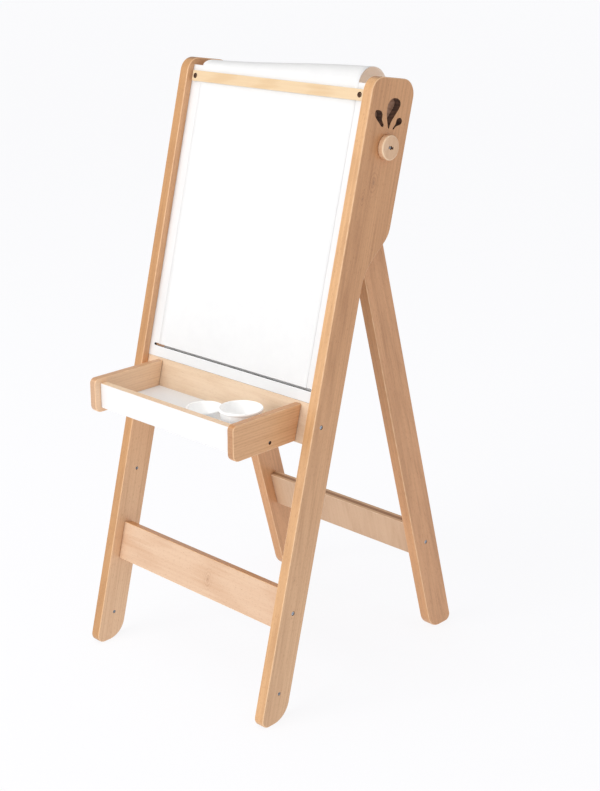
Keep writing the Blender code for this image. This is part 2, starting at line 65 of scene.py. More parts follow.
def add_node(tree, kind, inputs=None, **settings):
    """A node in a tree. Inputs are values, or sockets to link from."""
    made = tree.nodes.new(kind)
    for setting, value in settings.items():
        setattr(made, setting, value)
    for socket, value in (inputs or {}).items():
        if isinstance(value, bpy.types.NodeSocket):
            tree.links.new(value, made.inputs[socket])
        else:
            made.inputs[socket].default_value = value
    return made


def new_finish(name):
    """A new material with its tree, its Principled shader and its texture coordinates."""
    made = bpy.data.materials.new(name)
    made.use_nodes = True
    tree = made.node_tree
    return made, tree, tree.nodes["Principled BSDF"], add_node(tree, "ShaderNodeTexCoord").outputs


def noise(tree, vector, scale=1.0, detail=2.0, roughness=0.5):
    """Soft noise, from 0 to 1, over a vector."""
    return add_node(tree, "ShaderNodeTexNoise", {"Vector": vector, "Scale": scale, "Detail": detail,
                                                 "Roughness": roughness}).outputs["Fac"]


def blend_colour(tree, factor, one, two, blend="MIX"):
    """A mix of two colours, each a socket or (red, green, blue)."""
    one, two = [(*tone, 1) if isinstance(tone, tuple) else tone for tone in (one, two)]
    return add_node(tree, "ShaderNodeMix", {"Factor": factor, "A": one, "B": two}, data_type="RGBA",
                    blend_type=blend).outputs["Result"]


studio_floor = bmesh.new()
bmesh.ops.create_circle(studio_floor, cap_ends=True, radius=60, segments=64)
floor_mesh = bpy.data.meshes.new("studio_floor")
studio_floor.to_mesh(floor_mesh)
studio_floor.free()
floor = bpy.data.objects.new("studio_floor", floor_mesh)
bpy.context.collection.objects.link(floor)
floor_paint, floor_tree, floor_shader, floor_place = new_finish("studio_floor_paint")
floor_tone = blend_colour(floor_tree, noise(floor_tree, floor_place["Generated"], 0.8), (0.115, 0.115, 0.118),
                          (0.125, 0.125, 0.128))
floor_tree.links.new(floor_tone, floor_shader.inputs["Base Color"])
floor_shader.inputs["Roughness"].default_value = 0.9
floor_shader.inputs["Emission Color"].default_value = (0.985, 0.985, 1.0, 1)
floor_shader.inputs["Emission Strength"].default_value = 0.87
floor_mesh.materials.append(floor_paint)

studio = bpy.data.worlds.new("studio")
studio.use_nodes = True
sky = studio.node_tree
surround = sky.nodes["Background"]
height = add_node(sky, "ShaderNodeSeparateXYZ", {0: add_node(sky, "ShaderNodeTexCoord").outputs["Generated"]})
glow = add_node(sky, "ShaderNodeMapRange", {"Value": height.outputs["Z"], "From Min": 0.0, "From Max": 0.8,
                                            "To Min": 0.68, "To Max": 0.52})
sky.links.new(glow.outputs[0], surround.inputs["Strength"])
surround.inputs["Color"].default_value = (0.985, 0.99, 1.0, 1)
backdrop = add_node(sky, "ShaderNodeBackground", {"Color": (0.955, 0.955, 0.975, 1), "Strength": 1.0})
seen = add_node(sky, "ShaderNodeMixShader", {0: add_node(sky, "ShaderNodeLightPath").outputs["Is Camera Ray"],
                                             1: surround.outputs[0], 2: backdrop.outputs[0]})
sky.links.new(seen.outputs[0], sky.nodes["World Output"].inputs["Surface"])
bpy.context.scene.world = studio


def soft_light(name, place, target, size, watts, colour):
    """A square light panel that faces a target."""
    panel = bpy.data.lights.new(name, "AREA")
    panel.size = size
    panel.energy = watts
    panel.color = colour
    made = bpy.data.objects.new(name, panel)
    made.location = place
    made.rotation_euler = (Vector(target) - Vector(place)).to_track_quat("-Z", "Y").to_euler()
    bpy.context.collection.objects.link(made)


soft_light("front_panel", (-0.9, -5.0, 2.5), (0, 0, 0.6), 3.6, 165, (1.0, 0.985, 0.965))
soft_light("top_panel", (-0.3, -1.0, 4.0), (0, 0, 0.5), 2.4, 26, (1.0, 0.99, 0.98))
soft_light("right_panel", (4.6, -1.6, 2.0), (0, 0, 0.6), 2.6, 8, (1.0, 0.99, 0.98))


# Side rails: two planed beech boards glued up from staves. The outline is sawn and sanded round, the
# foot is cut to the floor, and three drop-shaped pockets are milled and burnt dark near the top; their walls
# are painted darker than their floors, as shade.

LEAN = math.radians(14.2)
SPLAY = math.radians(15.7)
HINGE_BACK, HINGE_UP = 0.079, 0.903
hinge = Vector(next(j for j in frame["joints"] if j["name"] == "rear_frame_fold")["pos_m"])
front_foot_y = hinge.y - HINGE_UP * math.sin(LEAN) - HINGE_BACK * math.cos(LEAN)
leaning = Matrix.Translation((0, front_foot_y, 0)) @ Matrix.Rotation(-LEAN, 4, "X")
splayed = Matrix.Translation((0, hinge.y, hinge.z)) @ Matrix.Rotation(SPLAY, 4, "X")
level = Matrix.Identity(4)


def extent(node, axes):
    """Lowest and highest corner of a CAD node, measured along tilted axes."""
    back = axes.inverted()
    points = [back @ v.co for v in frame["nodes"][node].data.vertices]
    return (Vector([min(p[i] for p in points) for i in range(3)]),
            Vector([max(p[i] for p in points) for i in range(3)]))


SIDES = (("left", -1), ("right", 1))


def in_and_out(node, axes, sign):
    """Where a node on the left (-1) or right (1) starts and ends: its inner X and its outer X."""
    low, high = extent(node, axes)
    return (low.x, high.x) if sign > 0 else (high.x, low.x)


def arc(centre, radius, start, end, steps):
    """Points along an arc, from the start angle to the end angle."""
    turns = [start + (end - start) * step / steps for step in range(steps + 1)]
    return [(centre[0] + radius * math.cos(turn), centre[1] + radius * math.sin(turn)) for turn in turns]


def rounded(corners):
    """An outline through (depth, height, radius) corners, each rounded with its own radius."""
    points = []
    for index, (y, z, radius) in enumerate(corners):
        if radius == 0:
            points.append((y, z))
            continue
        before, after = corners[index - 1], corners[(index + 1) % len(corners)]
        into = math.atan2(z - before[1], y - before[0])
        out = math.atan2(after[1] - z, after[0] - y)
        turn = (out - into + math.pi) % (2 * math.pi) - math.pi
        reach = radius * math.tan(abs(turn) / 2)
        side = math.copysign(math.pi / 2, turn)
        start = (y - reach * math.cos(into), z - reach * math.sin(into))
        centre = (start[0] + radius * math.cos(into + side), start[1] + radius * math.sin(into + side))
        steps = max(3, round(math.degrees(abs(turn)) / 7))
        points += arc(centre, radius, into - side, into - side + turn, steps)
    return points


def slab(outline, low, high):
    """A mesh of a depth-height outline, from one X to another."""
    mesh = bmesh.new()
    near = [mesh.verts.new((low, y, z)) for y, z in outline]
    far = [mesh.verts.new((high, y, z)) for y, z in outline]
    mesh.faces.new(near)
    mesh.faces.new(reversed(far))
    for index in range(len(outline)):
        after = (index + 1) % len(outline)
        mesh.faces.new((near[index], far[index], far[after], near[after]))
    return mesh


def oblong(low, high, grow=0.0):
    """The rectangle between two corners, in depth and height."""
    return [(low.y - grow, low.z - grow), (high.y + grow, low.z - grow),
            (high.y + grow, high.z + grow), (low.y - grow, high.z + grow)]


def object_of(name, mesh, axes, materials):
    """An object for a mesh that was drawn in tilted axes."""
    bmesh.ops.recalc_face_normals(mesh, faces=mesh.faces)
    data = bpy.data.meshes.new(name)
    mesh.to_mesh(data)
    mesh.free()
    data.shade_smooth()
    for material in materials:
        data.materials.append(material)
    made = bpy.data.objects.new(name, data)
    bpy.context.collection.objects.link(made)
    made.matrix_world = axes
    return made


def cutter(mesh, axes, *materials):
    """A shape to be cut out of a piece, with the materials that its walls leave behind."""
    return object_of("cutter", mesh, axes, materials)


def shaped(item, edge=0.0, segments=3, cutters=()):
    """Round a piece's edges, cut its holes, and keep the result as its mesh."""
    if edge:
        bevel = item.modifiers.new("edge", "BEVEL")
        bevel.width = edge
        bevel.segments = segments
        bevel.limit_method = "ANGLE"
        bevel.angle_limit = math.radians(38)
    for shape in cutters:
        cut = item.modifiers.new("cut", "BOOLEAN")
        cut.object = shape
        cut.solver = "EXACT"
        cut.material_mode = "TRANSFER"
    item.modifiers.new("flat_faces", "WEIGHTED_NORMAL").keep_sharp = True
    bpy.context.view_layer.update()
    settled = bpy.data.meshes.new_from_object(item.evaluated_get(bpy.context.evaluated_depsgraph_get()))
    item.modifiers.clear()
    item.data = settled
    settled.name = item.name
    for shape in cutters:
        bpy.data.objects.remove(shape, do_unlink=True)
    return item


def new_group(name, inputs, outputs):
    """A shader node group with named sockets: its tree, its input node and its output node."""
    tree = bpy.data.node_groups.new(name, "ShaderNodeTree")
    for socket, kind, value in inputs:
        made = tree.interface.new_socket(socket, in_out="INPUT", socket_type="NodeSocket" + kind)
        if value is not None:
            made.default_value = value
    for socket, kind in outputs:
        tree.interface.new_socket(socket, in_out="OUTPUT", socket_type="NodeSocket" + kind)
    return tree, tree.nodes.new("NodeGroupInput").outputs, tree.nodes.new("NodeGroupOutput")


def scaled(tree, vector, scale):
    """A vector with each axis scaled."""
    return add_node(tree, "ShaderNodeMapping", {"Vector": vector, "Scale": scale}).outputs[0]


def ramp(tree, value, low, high, to_low=0.0, to_high=1.0):
    """A value mapped smoothly from one range to another."""
    return add_node(tree, "ShaderNodeMapRange", {"Value": value, "From Min": low, "From Max": high,
                                                 "To Min": to_low, "To Max": to_high},
                    interpolation_type="SMOOTHSTEP").outputs[0]


def sums(tree, operation, one, two=0.0):
    """One step of arithmetic."""
    return add_node(tree, "ShaderNodeMath", {0: one, 1: two}, operation=operation).outputs[0]


def plus(tree, one, two):
    """The sum of two values."""
    return sums(tree, "ADD", one, two)


def times(tree, one, two):
    """The product of two values."""
    return sums(tree, "MULTIPLY", one, two)


def tinted(tree, colour, tone):
    """A colour darkened or warmed by a (red, green, blue) tone."""
    return blend_colour(tree, 1.0, colour, tone, "MULTIPLY")


def add_relief(tree, shader, height, strength, distance):
    """A fine relief in a shader's surface."""
    relief = add_node(tree, "ShaderNodeBump", {"Height": height, "Strength": strength, "Distance": distance})
    tree.links.new(relief.outputs["Normal"], shader.inputs["Normal"])


def build_wood_figure():
    """Planed wood with its grain along Z: staves, growth rings, streaks and short dark flecks."""
    tree, given, out = new_group(
        "wood_figure",
        [("Vector", "Vector", None), ("Light", "Color", (0.8, 0.5, 0.3, 1)),
         ("Dark", "Color", (0.6, 0.3, 0.15, 1)), ("Stave width", "Float", 0.030),
         ("Ring strength", "Float", 0.5), ("Fleck strength", "Float", 0.5)],
        [("Color", "Color"), ("Height", "Float"), ("Polish", "Float")])
    axes = add_node(tree, "ShaderNodeSeparateXYZ", {0: given["Vector"]}).outputs
    across = plus(tree, axes["Y"], times(tree, axes["X"], 0.35))
    stave = sums(tree, "FLOOR", sums(tree, "DIVIDE", across, given["Stave width"]))
    stave_tone = add_node(tree, "ShaderNodeTexWhiteNoise", {"W": stave}, noise_dimensions="1D").outputs[0]
    place = add_node(tree, "ShaderNodeCombineXYZ", {
        "X": axes["X"], "Y": axes["Y"],
        "Z": plus(tree, axes["Z"], times(tree, stave_tone, 3.0))}).outputs[0]

    bend = noise(tree, scaled(tree, place, (9, 9, 1.1)))
    rings = add_node(tree, "ShaderNodeTexWave", {
        "Vector": scaled(tree, place, (1.0, 1.0, 0.035)), "Scale": 62.0, "Distortion": 7.0, "Detail": 2.0,
        "Detail Scale": 0.6, "Detail Roughness": 0.55,
        "Phase Offset": times(tree, bend, 16.0)}, wave_type="RINGS", rings_direction="X").outputs["Fac"]
    streaks = noise(tree, scaled(tree, place, (190, 190, 3.2)), detail=5.0, roughness=0.62)
    clouds = noise(tree, scaled(tree, place, (16, 16, 3.0)))
    flecks = noise(tree, scaled(tree, place, (1500, 1500, 130)), detail=1.0)
    fleck_mask = times(tree, ramp(tree, flecks, 0.60, 0.72), given["Fleck strength"])

    ring_part = times(tree, ramp(tree, rings, 0.35, 1.0), given["Ring strength"])
    streak_part = ramp(tree, streaks, 0.30, 0.74, 0.0, 0.40)
    cloud_part = ramp(tree, clouds, 0.30, 0.75, 0.0, 0.34)
    stave_part = times(tree, stave_tone, 0.18)
    darkness = plus(tree, plus(tree, ring_part, streak_part),
                    plus(tree, cloud_part, stave_part))
    body = blend_colour(tree, ramp(tree, darkness, 0.05, 1.35), given["Light"], given["Dark"])
    flecked = blend_colour(tree, times(tree, fleck_mask, 0.60), body,
                           tinted(tree, body, (0.52, 0.36, 0.26)))
    tree.links.new(flecked, out.inputs["Color"])
    height = sums(tree, "SUBTRACT", times(tree, streaks, 0.6), times(tree, fleck_mask, 0.7))
    tree.links.new(height, out.inputs["Height"])
    tree.links.new(ramp(tree, plus(tree, streaks, fleck_mask), 0.3, 1.3), out.inputs["Polish"])
    return tree


def build_sanded_and_highlit_edge():
    """Mask of a board's rounded edges, from how far its surface turns away from flat and from square."""
    tree, given, out = new_group(
        "sanded_and_highlit_edge", [("Normal", "Vector", None), ("Thin way", "Vector", (1, 0, 0))], [("Mask", "Float")])
    facing = add_node(tree, "ShaderNodeVectorMath", {0: given["Normal"], 1: given["Thin way"]},
                      operation="DOT_PRODUCT").outputs["Value"]
    squared = times(tree, facing, facing)
    turned_away = times(tree, squared, sums(tree, "SUBTRACT", 1.0, squared))
    tree.links.new(ramp(tree, turned_away, 0.02, 0.20), out.inputs["Mask"])
    return tree


wood_figure = build_wood_figure()
sanded_and_highlit_edge = build_sanded_and_highlit_edge()
GRAIN_TURN = {"Z": (0, 0, 0), "X": (0, math.pi / 2, 0), "Y": (math.pi / 2, 0, 0)}


def build_knot():
    """A knot in a board's face: a dark eye with rings that the grain bends around."""
    tree, given, out = new_group("knot", [("Vector", "Vector", None), ("Centre", "Vector", (0, 0, 0)),
                                          ("Size", "Float", 0.004)], [("Eye", "Float"), ("Rings", "Float")])
    away = add_node(tree, "ShaderNodeVectorMath", {0: given["Vector"], 1: given["Centre"]},
                    operation="SUBTRACT").outputs[0]
    wobble = noise(tree, given["Vector"], 120.0)
    squeezed = scaled(tree, away, (1.0, 1.0, 0.55))
    distance = add_node(tree, "ShaderNodeVectorMath", {0: squeezed}, operation="LENGTH").outputs["Value"]
    reach = plus(tree, sums(tree, "DIVIDE", distance, given["Size"]),
                 times(tree, wobble, 0.7))
    tree.links.new(ramp(tree, reach, 0.55, 1.35, 1.0, 0.0), out.inputs["Eye"])
    waves = ramp(tree, sums(tree, "SINE", times(tree, reach, 5.5)), -0.2, 1.0)
    fade = times(tree, ramp(tree, reach, 1.6, 5.2, 1.0, 0.0), waves)
    tree.links.new(fade, out.inputs["Rings"])
    return tree


knot_group = build_knot()


def wood(name, light, dark, edge_tone, grain, thin_way, stave=0.030, rings=0.17, flecks=0.8, end_tone=0.62,
         edge_grain=None, roughness=0.46, knots=(), drift=None, top_shade=None):
    """A lacquered wood: figure along the grain, other tone on its narrow edges, rounded edges lightened for
    sanding wear and as a painted highlight, end grain, a slow change of tone along its length, upward faces
    darkened as painted shade, and knots as (x, y, z, size)."""
    made, tree, shader, where = new_finish(name)
    along = add_node(tree, "ShaderNodeMapping", {"Vector": where["Object"], "Rotation": GRAIN_TURN[grain]})
    figure = add_node(tree, "ShaderNodeGroup", node_tree=wood_figure)
    for socket, value in (("Light", (*light, 1)), ("Dark", (*dark, 1)), ("Stave width", stave),
                          ("Ring strength", rings), ("Fleck strength", flecks)):
        figure.inputs[socket].default_value = value
    tree.links.new(along.outputs[0], figure.inputs["Vector"])

    normal = add_node(tree, "ShaderNodeSeparateXYZ", {0: where["Normal"]}).outputs
    side_on = sums(tree, "ABSOLUTE", normal[thin_way])
    colour = figure.outputs["Color"]
    undrifted = colour
    if drift:
        place = add_node(tree, "ShaderNodeSeparateXYZ", {0: where["Object"]}).outputs[grain]
        start, end, tone = drift
        colour = blend_colour(tree, ramp(tree, place, start, end), colour, tinted(tree, colour, tone))
    for x, y, z, size in knots:
        knot = add_node(tree, "ShaderNodeGroup", {"Vector": where["Object"]}, node_tree=knot_group)
        knot.inputs["Centre"].default_value = (x, y, z)
        knot.inputs["Size"].default_value = size
        colour = blend_colour(tree, times(tree, knot.outputs["Rings"], 0.55), colour,
                              tinted(tree, colour, (0.74, 0.65, 0.60)))
        colour = blend_colour(tree, times(tree, knot.outputs["Eye"], 0.50), colour, (0.27, 0.12, 0.060))
    # Painted shade: faces that point up are darkened by the given tone.
    if top_shade:
        up = ramp(tree, normal["Z"], 0.45, 0.75)
        colour = blend_colour(tree, up, colour, tinted(tree, colour, top_shade))
    if edge_grain:
        broad = ramp(tree, side_on, 0.25, 0.75)
        colour = blend_colour(tree, broad, tinted(tree, undrifted, edge_grain), colour)
    end_on = ramp(tree, sums(tree, "ABSOLUTE", normal[grain]), 0.70, 0.95)
    colour = blend_colour(tree, end_on, colour,
                          tinted(tree, colour, (end_tone, end_tone * 0.9, end_tone * 0.82)))
    # Rounded edges are lightened towards the edge tone: partly sanding wear, partly a painted highlight along
    # the arrises.
    edge = add_node(tree, "ShaderNodeGroup", {"Normal": where["Normal"]}, node_tree=sanded_and_highlit_edge)
    edge.inputs["Thin way"].default_value = [float(letter == thin_way) for letter in "XYZ"]
    wear_and_sheen_patches = noise(tree, where["Object"], 70.0, 3.0)
    worn_and_highlit = times(tree, edge.outputs["Mask"], ramp(tree, wear_and_sheen_patches, 0.25, 0.75, 0.35, 0.85))
    colour = blend_colour(tree, worn_and_highlit, colour, edge_tone)
    tree.links.new(colour, shader.inputs["Base Color"])

    polish = ramp(tree, figure.outputs["Polish"], 0.0, 1.0, roughness - 0.07, roughness + 0.12)
    tree.links.new(polish, shader.inputs["Roughness"])
    shader.inputs["Coat Weight"].default_value = 0.12
    shader.inputs["Coat Roughness"].default_value = 0.30
    add_relief(tree, shader, figure.outputs["Height"], 0.16, 0.0006)
    return made


BEECH_LIGHT, BEECH_DARK = (0.67, 0.350, 0.165), (0.45, 0.206, 0.086)
BEECH_EDGE = (0.88, 0.59, 0.35)
PINKER_FOOT = (0.80, 0.05, (1.15, 1.36, 1.62))
rail_beech = {
    "left": wood("left_rail_beech", (0.72, 0.40, 0.205), (0.53, 0.255, 0.115), (0.82, 0.52, 0.29), "Z", "X",
                 edge_grain=(0.74, 0.70, 0.56), drift=PINKER_FOOT),
    "right": wood("right_rail_beech", BEECH_LIGHT, BEECH_DARK, BEECH_EDGE, "Z", "X",
                  edge_grain=(1.02, 1.13, 1.14), drift=PINKER_FOOT,
                  knots=((0.2408, 0.043, 0.985, 0.0042), (0.2408, 0.022, 0.955, 0.0026),
                         (0.2408, 0.018, 0.278, 0.0016)))}


def shaded_recess_finish(name, dark, light):
    """A blotchy dark brown painted into recesses as their shade; in the rails' pockets it also stands for the
    scorch of the milling cutter.
    """
    made, tree, shader, where = new_finish(name)
    blotches = noise(tree, scaled(tree, where["Object"], (60, 60, 240)), detail=4.0)
    tree.links.new(blend_colour(tree, ramp(tree, blotches, 0.3, 0.7), dark, light), shader.inputs["Base Color"])
    shader.inputs["Roughness"].default_value = 0.75
    add_relief(tree, shader, blotches, 0.3, 0.0005)
    return made


recess_shade_wood = shaded_recess_finish("recess_shade_wood", (0.070, 0.032, 0.020), (0.17, 0.078, 0.045))
pocket_floor = shaded_recess_finish("pocket_floor", (0.34, 0.180, 0.115), (0.48, 0.285, 0.195))


def flared(outline, sign, surface, deep, flare):
    """A cutter whose mouth opens out by flare at the surface, for a pocket with a broken edge. Its mouth
    takes the first of its materials, and its walls and its floor take the next two, if it has them."""
    middle = Vector((sum(p[0] for p in outline), sum(p[1] for p in outline))) / len(outline)
    rings = ((0.0010, flare * 1.6), (-flare * 0.25, flare * 0.45), (-flare * 1.1, 0.0), (-deep, 0.0))
    mesh = bmesh.new()
    loops = []
    for inward, grow in rings:
        loop = []
        for index, point in enumerate(outline):
            before, after = Vector(outline[index - 1]), Vector(outline[(index + 1) % len(outline)])
            tangent = (after - before).normalized()
            outward = Vector((tangent.y, -tangent.x))
            at = Vector(point) + outward * grow
            loop.append(mesh.verts.new((surface + sign * inward, at.x, at.y)))
        loops.append(loop)
    for row, (one, two) in enumerate(zip(loops, loops[1:])):
        for index in range(len(outline)):
            after = (index + 1) % len(outline)
            face = mesh.faces.new((one[index], one[after], two[after], two[index]))
            face.material_index = 1 if row == 2 else 0
    mesh.faces.new(loops[0])
    mesh.faces.new(reversed(loops[-1])).material_index = 2
    return mesh


def smooth_loop(points, steps=3):
    """A closed smooth curve through points."""
    curve = []
    for index in range(len(points)):
        before, one, two, after = [Vector(points[(index + way) % len(points)]) for way in (-1, 0, 1, 2)]
        square, cube = 2 * before - 5 * one + 4 * two - after, 3 * one - before - 3 * two + after
        for step in range(steps):
            t = step / steps
            curve.append(tuple(one + 0.5 * ((two - before) * t + square * t ** 2 + cube * t ** 3)))
    return curve[::-1]


def bored(at, radius, sign, surface, deep, broken=0.0003, steps=24):
    """A cutter for a round hole with a broken edge, bored in from a surface."""
    ring = arc(at, radius, 0, math.tau * (steps - 1) / steps, steps - 1)
    return flared(ring, sign, surface, deep, broken)


DROPS = (((0.0306, 1.1060), (0.0352, 1.1028), (0.0370, 1.0986), (0.0367, 1.0943), (0.0380, 1.0908),
          (0.0436, 1.0844), (0.0428, 1.0814), (0.0401, 1.0803), (0.0368, 1.0814), (0.0324, 1.0848),
          (0.0204, 1.0927), (0.0167, 1.0970), (0.0157, 1.1013), (0.0176, 1.1046), (0.0210, 1.1064)),
         ((0.0630, 1.1327), (0.0703, 1.1324), (0.0762, 1.1297), (0.0787, 1.1252), (0.0781, 1.1202),
          (0.0750, 1.1137), (0.0626, 1.0929), (0.0604, 1.0859), (0.0592, 1.0806), (0.0571, 1.0802),
          (0.0536, 1.0866), (0.0473, 1.1015), (0.0456, 1.1154), (0.0474, 1.1220), (0.0512, 1.1276),
          (0.0567, 1.1313)),
         ((0.0833, 1.1019), (0.0880, 1.1009), (0.0905, 1.0973), (0.0895, 1.0931), (0.0855, 1.0902),
          (0.0768, 1.0865), (0.0720, 1.0806), (0.0698, 1.0802), (0.0693, 1.0826), (0.0739, 1.0892),
          (0.0756, 1.0973), (0.0787, 1.1003)))
DROP_DEEP = 0.0140
ROLL_AT = (0.0592, 1.0482)
STRETCHER_BOLT_AT = (0.0300, 0.2158)
TRAY_BEAM_SCREW_AT = (0.0185, 0.5545)
FOOT_INSERT_AT, SPARE_INSERT_AT = (0.0305, 0.0660), (0.0300, 0.3606)
COUNTERBORE, COUNTERBORE_DEEP = 0.0040, 0.0036
BOLT_HOLE, INSERT_HOLE, RIGHT_THROUGH = 0.0028, 0.0033, 0.030
RAIL_FRONT, RAIL_BACK, RAIL_HEAD_BACK = -0.0008, 0.0614, 0.1103
RAIL_LENGTH, STEP_BOTTOM = 1.166, 0.8312
STEP_SLOPE, TOP_SLOPE = math.radians(36), math.radians(6)
step_top = STEP_BOTTOM + (RAIL_HEAD_BACK - RAIL_BACK) / math.tan(STEP_SLOPE)
half_top = (RAIL_HEAD_BACK - RAIL_FRONT) / 2 * math.tan(TOP_SLOPE)
rail_outline = rounded([
    (RAIL_FRONT, RAIL_FRONT * math.tan(LEAN), 0.016),
    (RAIL_BACK, RAIL_BACK * math.tan(LEAN), 0.040),
    (RAIL_BACK, STEP_BOTTOM, 0.090),
    (RAIL_HEAD_BACK, step_top, 0.050),
    (RAIL_HEAD_BACK, RAIL_LENGTH + half_top, 0.028),
    (RAIL_FRONT, RAIL_LENGTH - half_top, 0.028)])
groove = oblong(*extent("board", leaning), 0.0003)
for side, sign in SIDES:
    inner, outer = in_and_out(f"{side}_rail", leaning, sign)
    beech = rail_beech[side]
    rail = object_of(f"{side}_rail_board", slab(rail_outline, inner, outer), leaning, [beech])
    cutters = [cutter(flared(smooth_loop(shape), sign, outer, DROP_DEEP, 0.0007), leaning, beech, recess_shade_wood,
                      pocket_floor) for shape in DROPS]
    cutters += [cutter(bored(at, radius, sign, outer, deep), leaning, beech) for at, radius, deep in (
        (ROLL_AT, 0.0103, RIGHT_THROUGH), (STRETCHER_BOLT_AT, COUNTERBORE, COUNTERBORE_DEEP),
        (TRAY_BEAM_SCREW_AT, COUNTERBORE, COUNTERBORE_DEEP), (FOOT_INSERT_AT, INSERT_HOLE, RIGHT_THROUGH))]
    cutters += [cutter(bored(at, radius, -sign, inner, deep), leaning, beech) for at, radius, deep in (
        (STRETCHER_BOLT_AT, BOLT_HOLE, RIGHT_THROUGH), (TRAY_BEAM_SCREW_AT, BOLT_HOLE, RIGHT_THROUGH),
        (SPARE_INSERT_AT, INSERT_HOLE, 0.0125), ((HINGE_BACK, HINGE_UP), 0.0063, 0.0140))]
    cutters.append(cutter(slab(groove, inner - sign * 0.001, inner + sign * 0.0043), leaning, beech))
    shaped(rail, 0.0024, 3, cutters)
    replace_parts(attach(rail, "front_frame"), f"{side}_rail")


# Steel: a zinc-plated insert through each rail's foot and a blind one on its inner face, for levelling
# feet and a lower shelf that aren't fitted. The finish is used on the screws, bolts and nuts too, all but the
# clamp bar's two screws.

def zinc(name, tone, roughness=0.34):
    """Zinc plating: a fine turned brushing and a few dull spots."""
    made, tree, shader, where = new_finish(name)
    brushed = noise(tree, scaled(tree, where["Object"], (300, 2400, 2400)))
    spots = noise(tree, where["Object"], 900.0)
    dull = tuple(value * 0.62 for value in tone)
    tree.links.new(blend_colour(tree, ramp(tree, spots, 0.5, 0.7), tone, dull), shader.inputs["Base Color"])
    streaked = ramp(tree, brushed, 0.2, 0.8, roughness - 0.08, roughness + 0.14)
    tree.links.new(streaked, shader.inputs["Roughness"])
    shader.inputs["Metallic"].default_value = 1.0
    add_relief(tree, shader, brushed, 0.12, 0.0002)
    return made


steel = zinc("zinc_plated_steel", (0.50, 0.54, 0.60))
# A dark brown steel, used on the clamp bar's screws.
dark_brown_steel = zinc("dark_brown_steel", (0.16, 0.10, 0.07), 0.45)


def turned(profile, steps=28):
    """A mesh turned about Z from (height, radius) points. A radius of zero closes an end."""
    mesh = bmesh.new()
    loops = []
    for height, radius in profile:
        if radius == 0:
            loops.append([mesh.verts.new((0, 0, height))])
        else:
            loops.append([mesh.verts.new((radius * math.cos(2 * math.pi * step / steps),
                                          radius * math.sin(2 * math.pi * step / steps), height))
                          for step in range(steps)])
    for one, two in zip(loops, loops[1:] + loops[:1]):
        if len(one) == 1 and len(two) == 1:
            continue
        for step in range(steps):
            after = (step + 1) % steps
            corners = [one[step % len(one)], one[after % len(one)],
                       two[after % len(two)], two[step % len(two)]]
            mesh.faces.new(list(dict.fromkeys(corners)))
    return mesh


def facing(mesh, origin, direction):
    """The mesh, moved so that its Z points along a direction from an origin."""
    turn = Vector(direction).to_track_quat("Z", "Y").to_matrix().to_4x4()
    bmesh.ops.transform(mesh, matrix=Matrix.Translation(origin) @ turn, verts=mesh.verts)
    return mesh


def rod(radius, start, end):
    """A plain round bar along Z, to bore a hole with."""
    return turned([(start, 0.0), (start, radius), (end, radius), (end, 0.0)], 20)


def socket_cutter(kind, size, top, deep):
    """A hexagon or cross recess for a driver, below the top of a head, along Z."""
    if kind == "hexagon":
        outline = arc((0, 0), size, 0, math.radians(300), 5)
    else:
        arm = size * 0.26
        quarter = [(size, -arm), (size, arm), (arm, arm)]
        outline = [(x * math.cos(turn) - y * math.sin(turn), x * math.sin(turn) + y * math.cos(turn))
                   for turn in [math.radians(angle) for angle in (0, 90, 180, 270)] for x, y in quarter]
    mesh = slab(outline, -deep, 0.0006)
    upright = Matrix.Translation((0, 0, top)) @ Matrix.Rotation(math.radians(-90), 4, "Y")
    bmesh.ops.transform(mesh, matrix=upright, verts=mesh.verts)
    return mesh


def fastener(node, body, axes, tip, head_top, shank, head, head_length, recess, thread=0.0011, finish=steel):
    """A screw or bolt from its tip to its head, with a ridged thread and a driver recess."""
    way = (Vector(head_top) - Vector(tip)).normalized()
    length = (Vector(head_top) - Vector(tip)).length
    neck = length - head_length
    profile = [(0.0, 0.0), (0.0, shank * 0.55), (shank * 0.5, shank * 0.86)]
    ridge = shank * 0.5
    while ridge < min(neck - 2 * thread, 0.022):
        profile += [(ridge + thread * 0.35, shank), (ridge + thread * 0.65, shank),
                    (ridge + thread, shank * 0.84)]
        ridge += thread
    profile += [(neck - thread * 0.5, shank * 0.94), (neck, shank * 0.94), (neck, head * 0.97),
                (neck + head_length * 0.12, head), (length - head_length * 0.42, head),
                (length - head_length * 0.14, head * 0.90), (length, head * 0.66), (length, 0.0)]
    made = object_of(node + "_part", facing(turned(profile, 24), tip, way), axes, [finish])
    kind, size, deep = recess
    shaped(made, cutters=[cutter(facing(socket_cutter(kind, size, length, deep), tip, way), axes, finish)])
    made.data.set_sharp_from_angle(angle=math.radians(32))
    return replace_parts(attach(made, body), node)


def insert(node, body, axes, inner_x, outer_x, at, radius, bore):
    """A threaded insert across a board: a sleeve with a chamfered mouth and a ridged bore."""
    length = abs(outer_x - inner_x)
    profile = [(0.0003, radius), (0.0, radius - 0.0003), (0.0, bore + 0.0006), (0.0006, bore)]
    ridge = 0.0006
    while ridge < length - 0.0016:
        profile += [(ridge + 0.0005, bore * 0.90), (ridge + 0.0010, bore)]
        ridge += 0.0010
    profile += [(length - 0.0006, bore), (length, bore + 0.0006), (length, radius - 0.0003),
                (length - 0.0003, radius)]
    made = object_of(node + "_part", facing(turned(profile, 24), (inner_x, *at), (outer_x - inner_x, 0, 0)),
                     axes, [steel])
    made.data.set_sharp_from_angle(angle=math.radians(32))
    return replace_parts(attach(made, body), node)


def side_bolt(node, body, axes, at, sign):
    """A bolt in from one side of the easel, with a domed hexagon-socket head."""
    tip, top = in_and_out(node, axes, sign)
    fastener(node, body, axes, (tip, *at), (top, *at), shank=0.0025, head=0.0037, head_length=0.0030,
             recess=("hexagon", 0.0017, 0.0016))


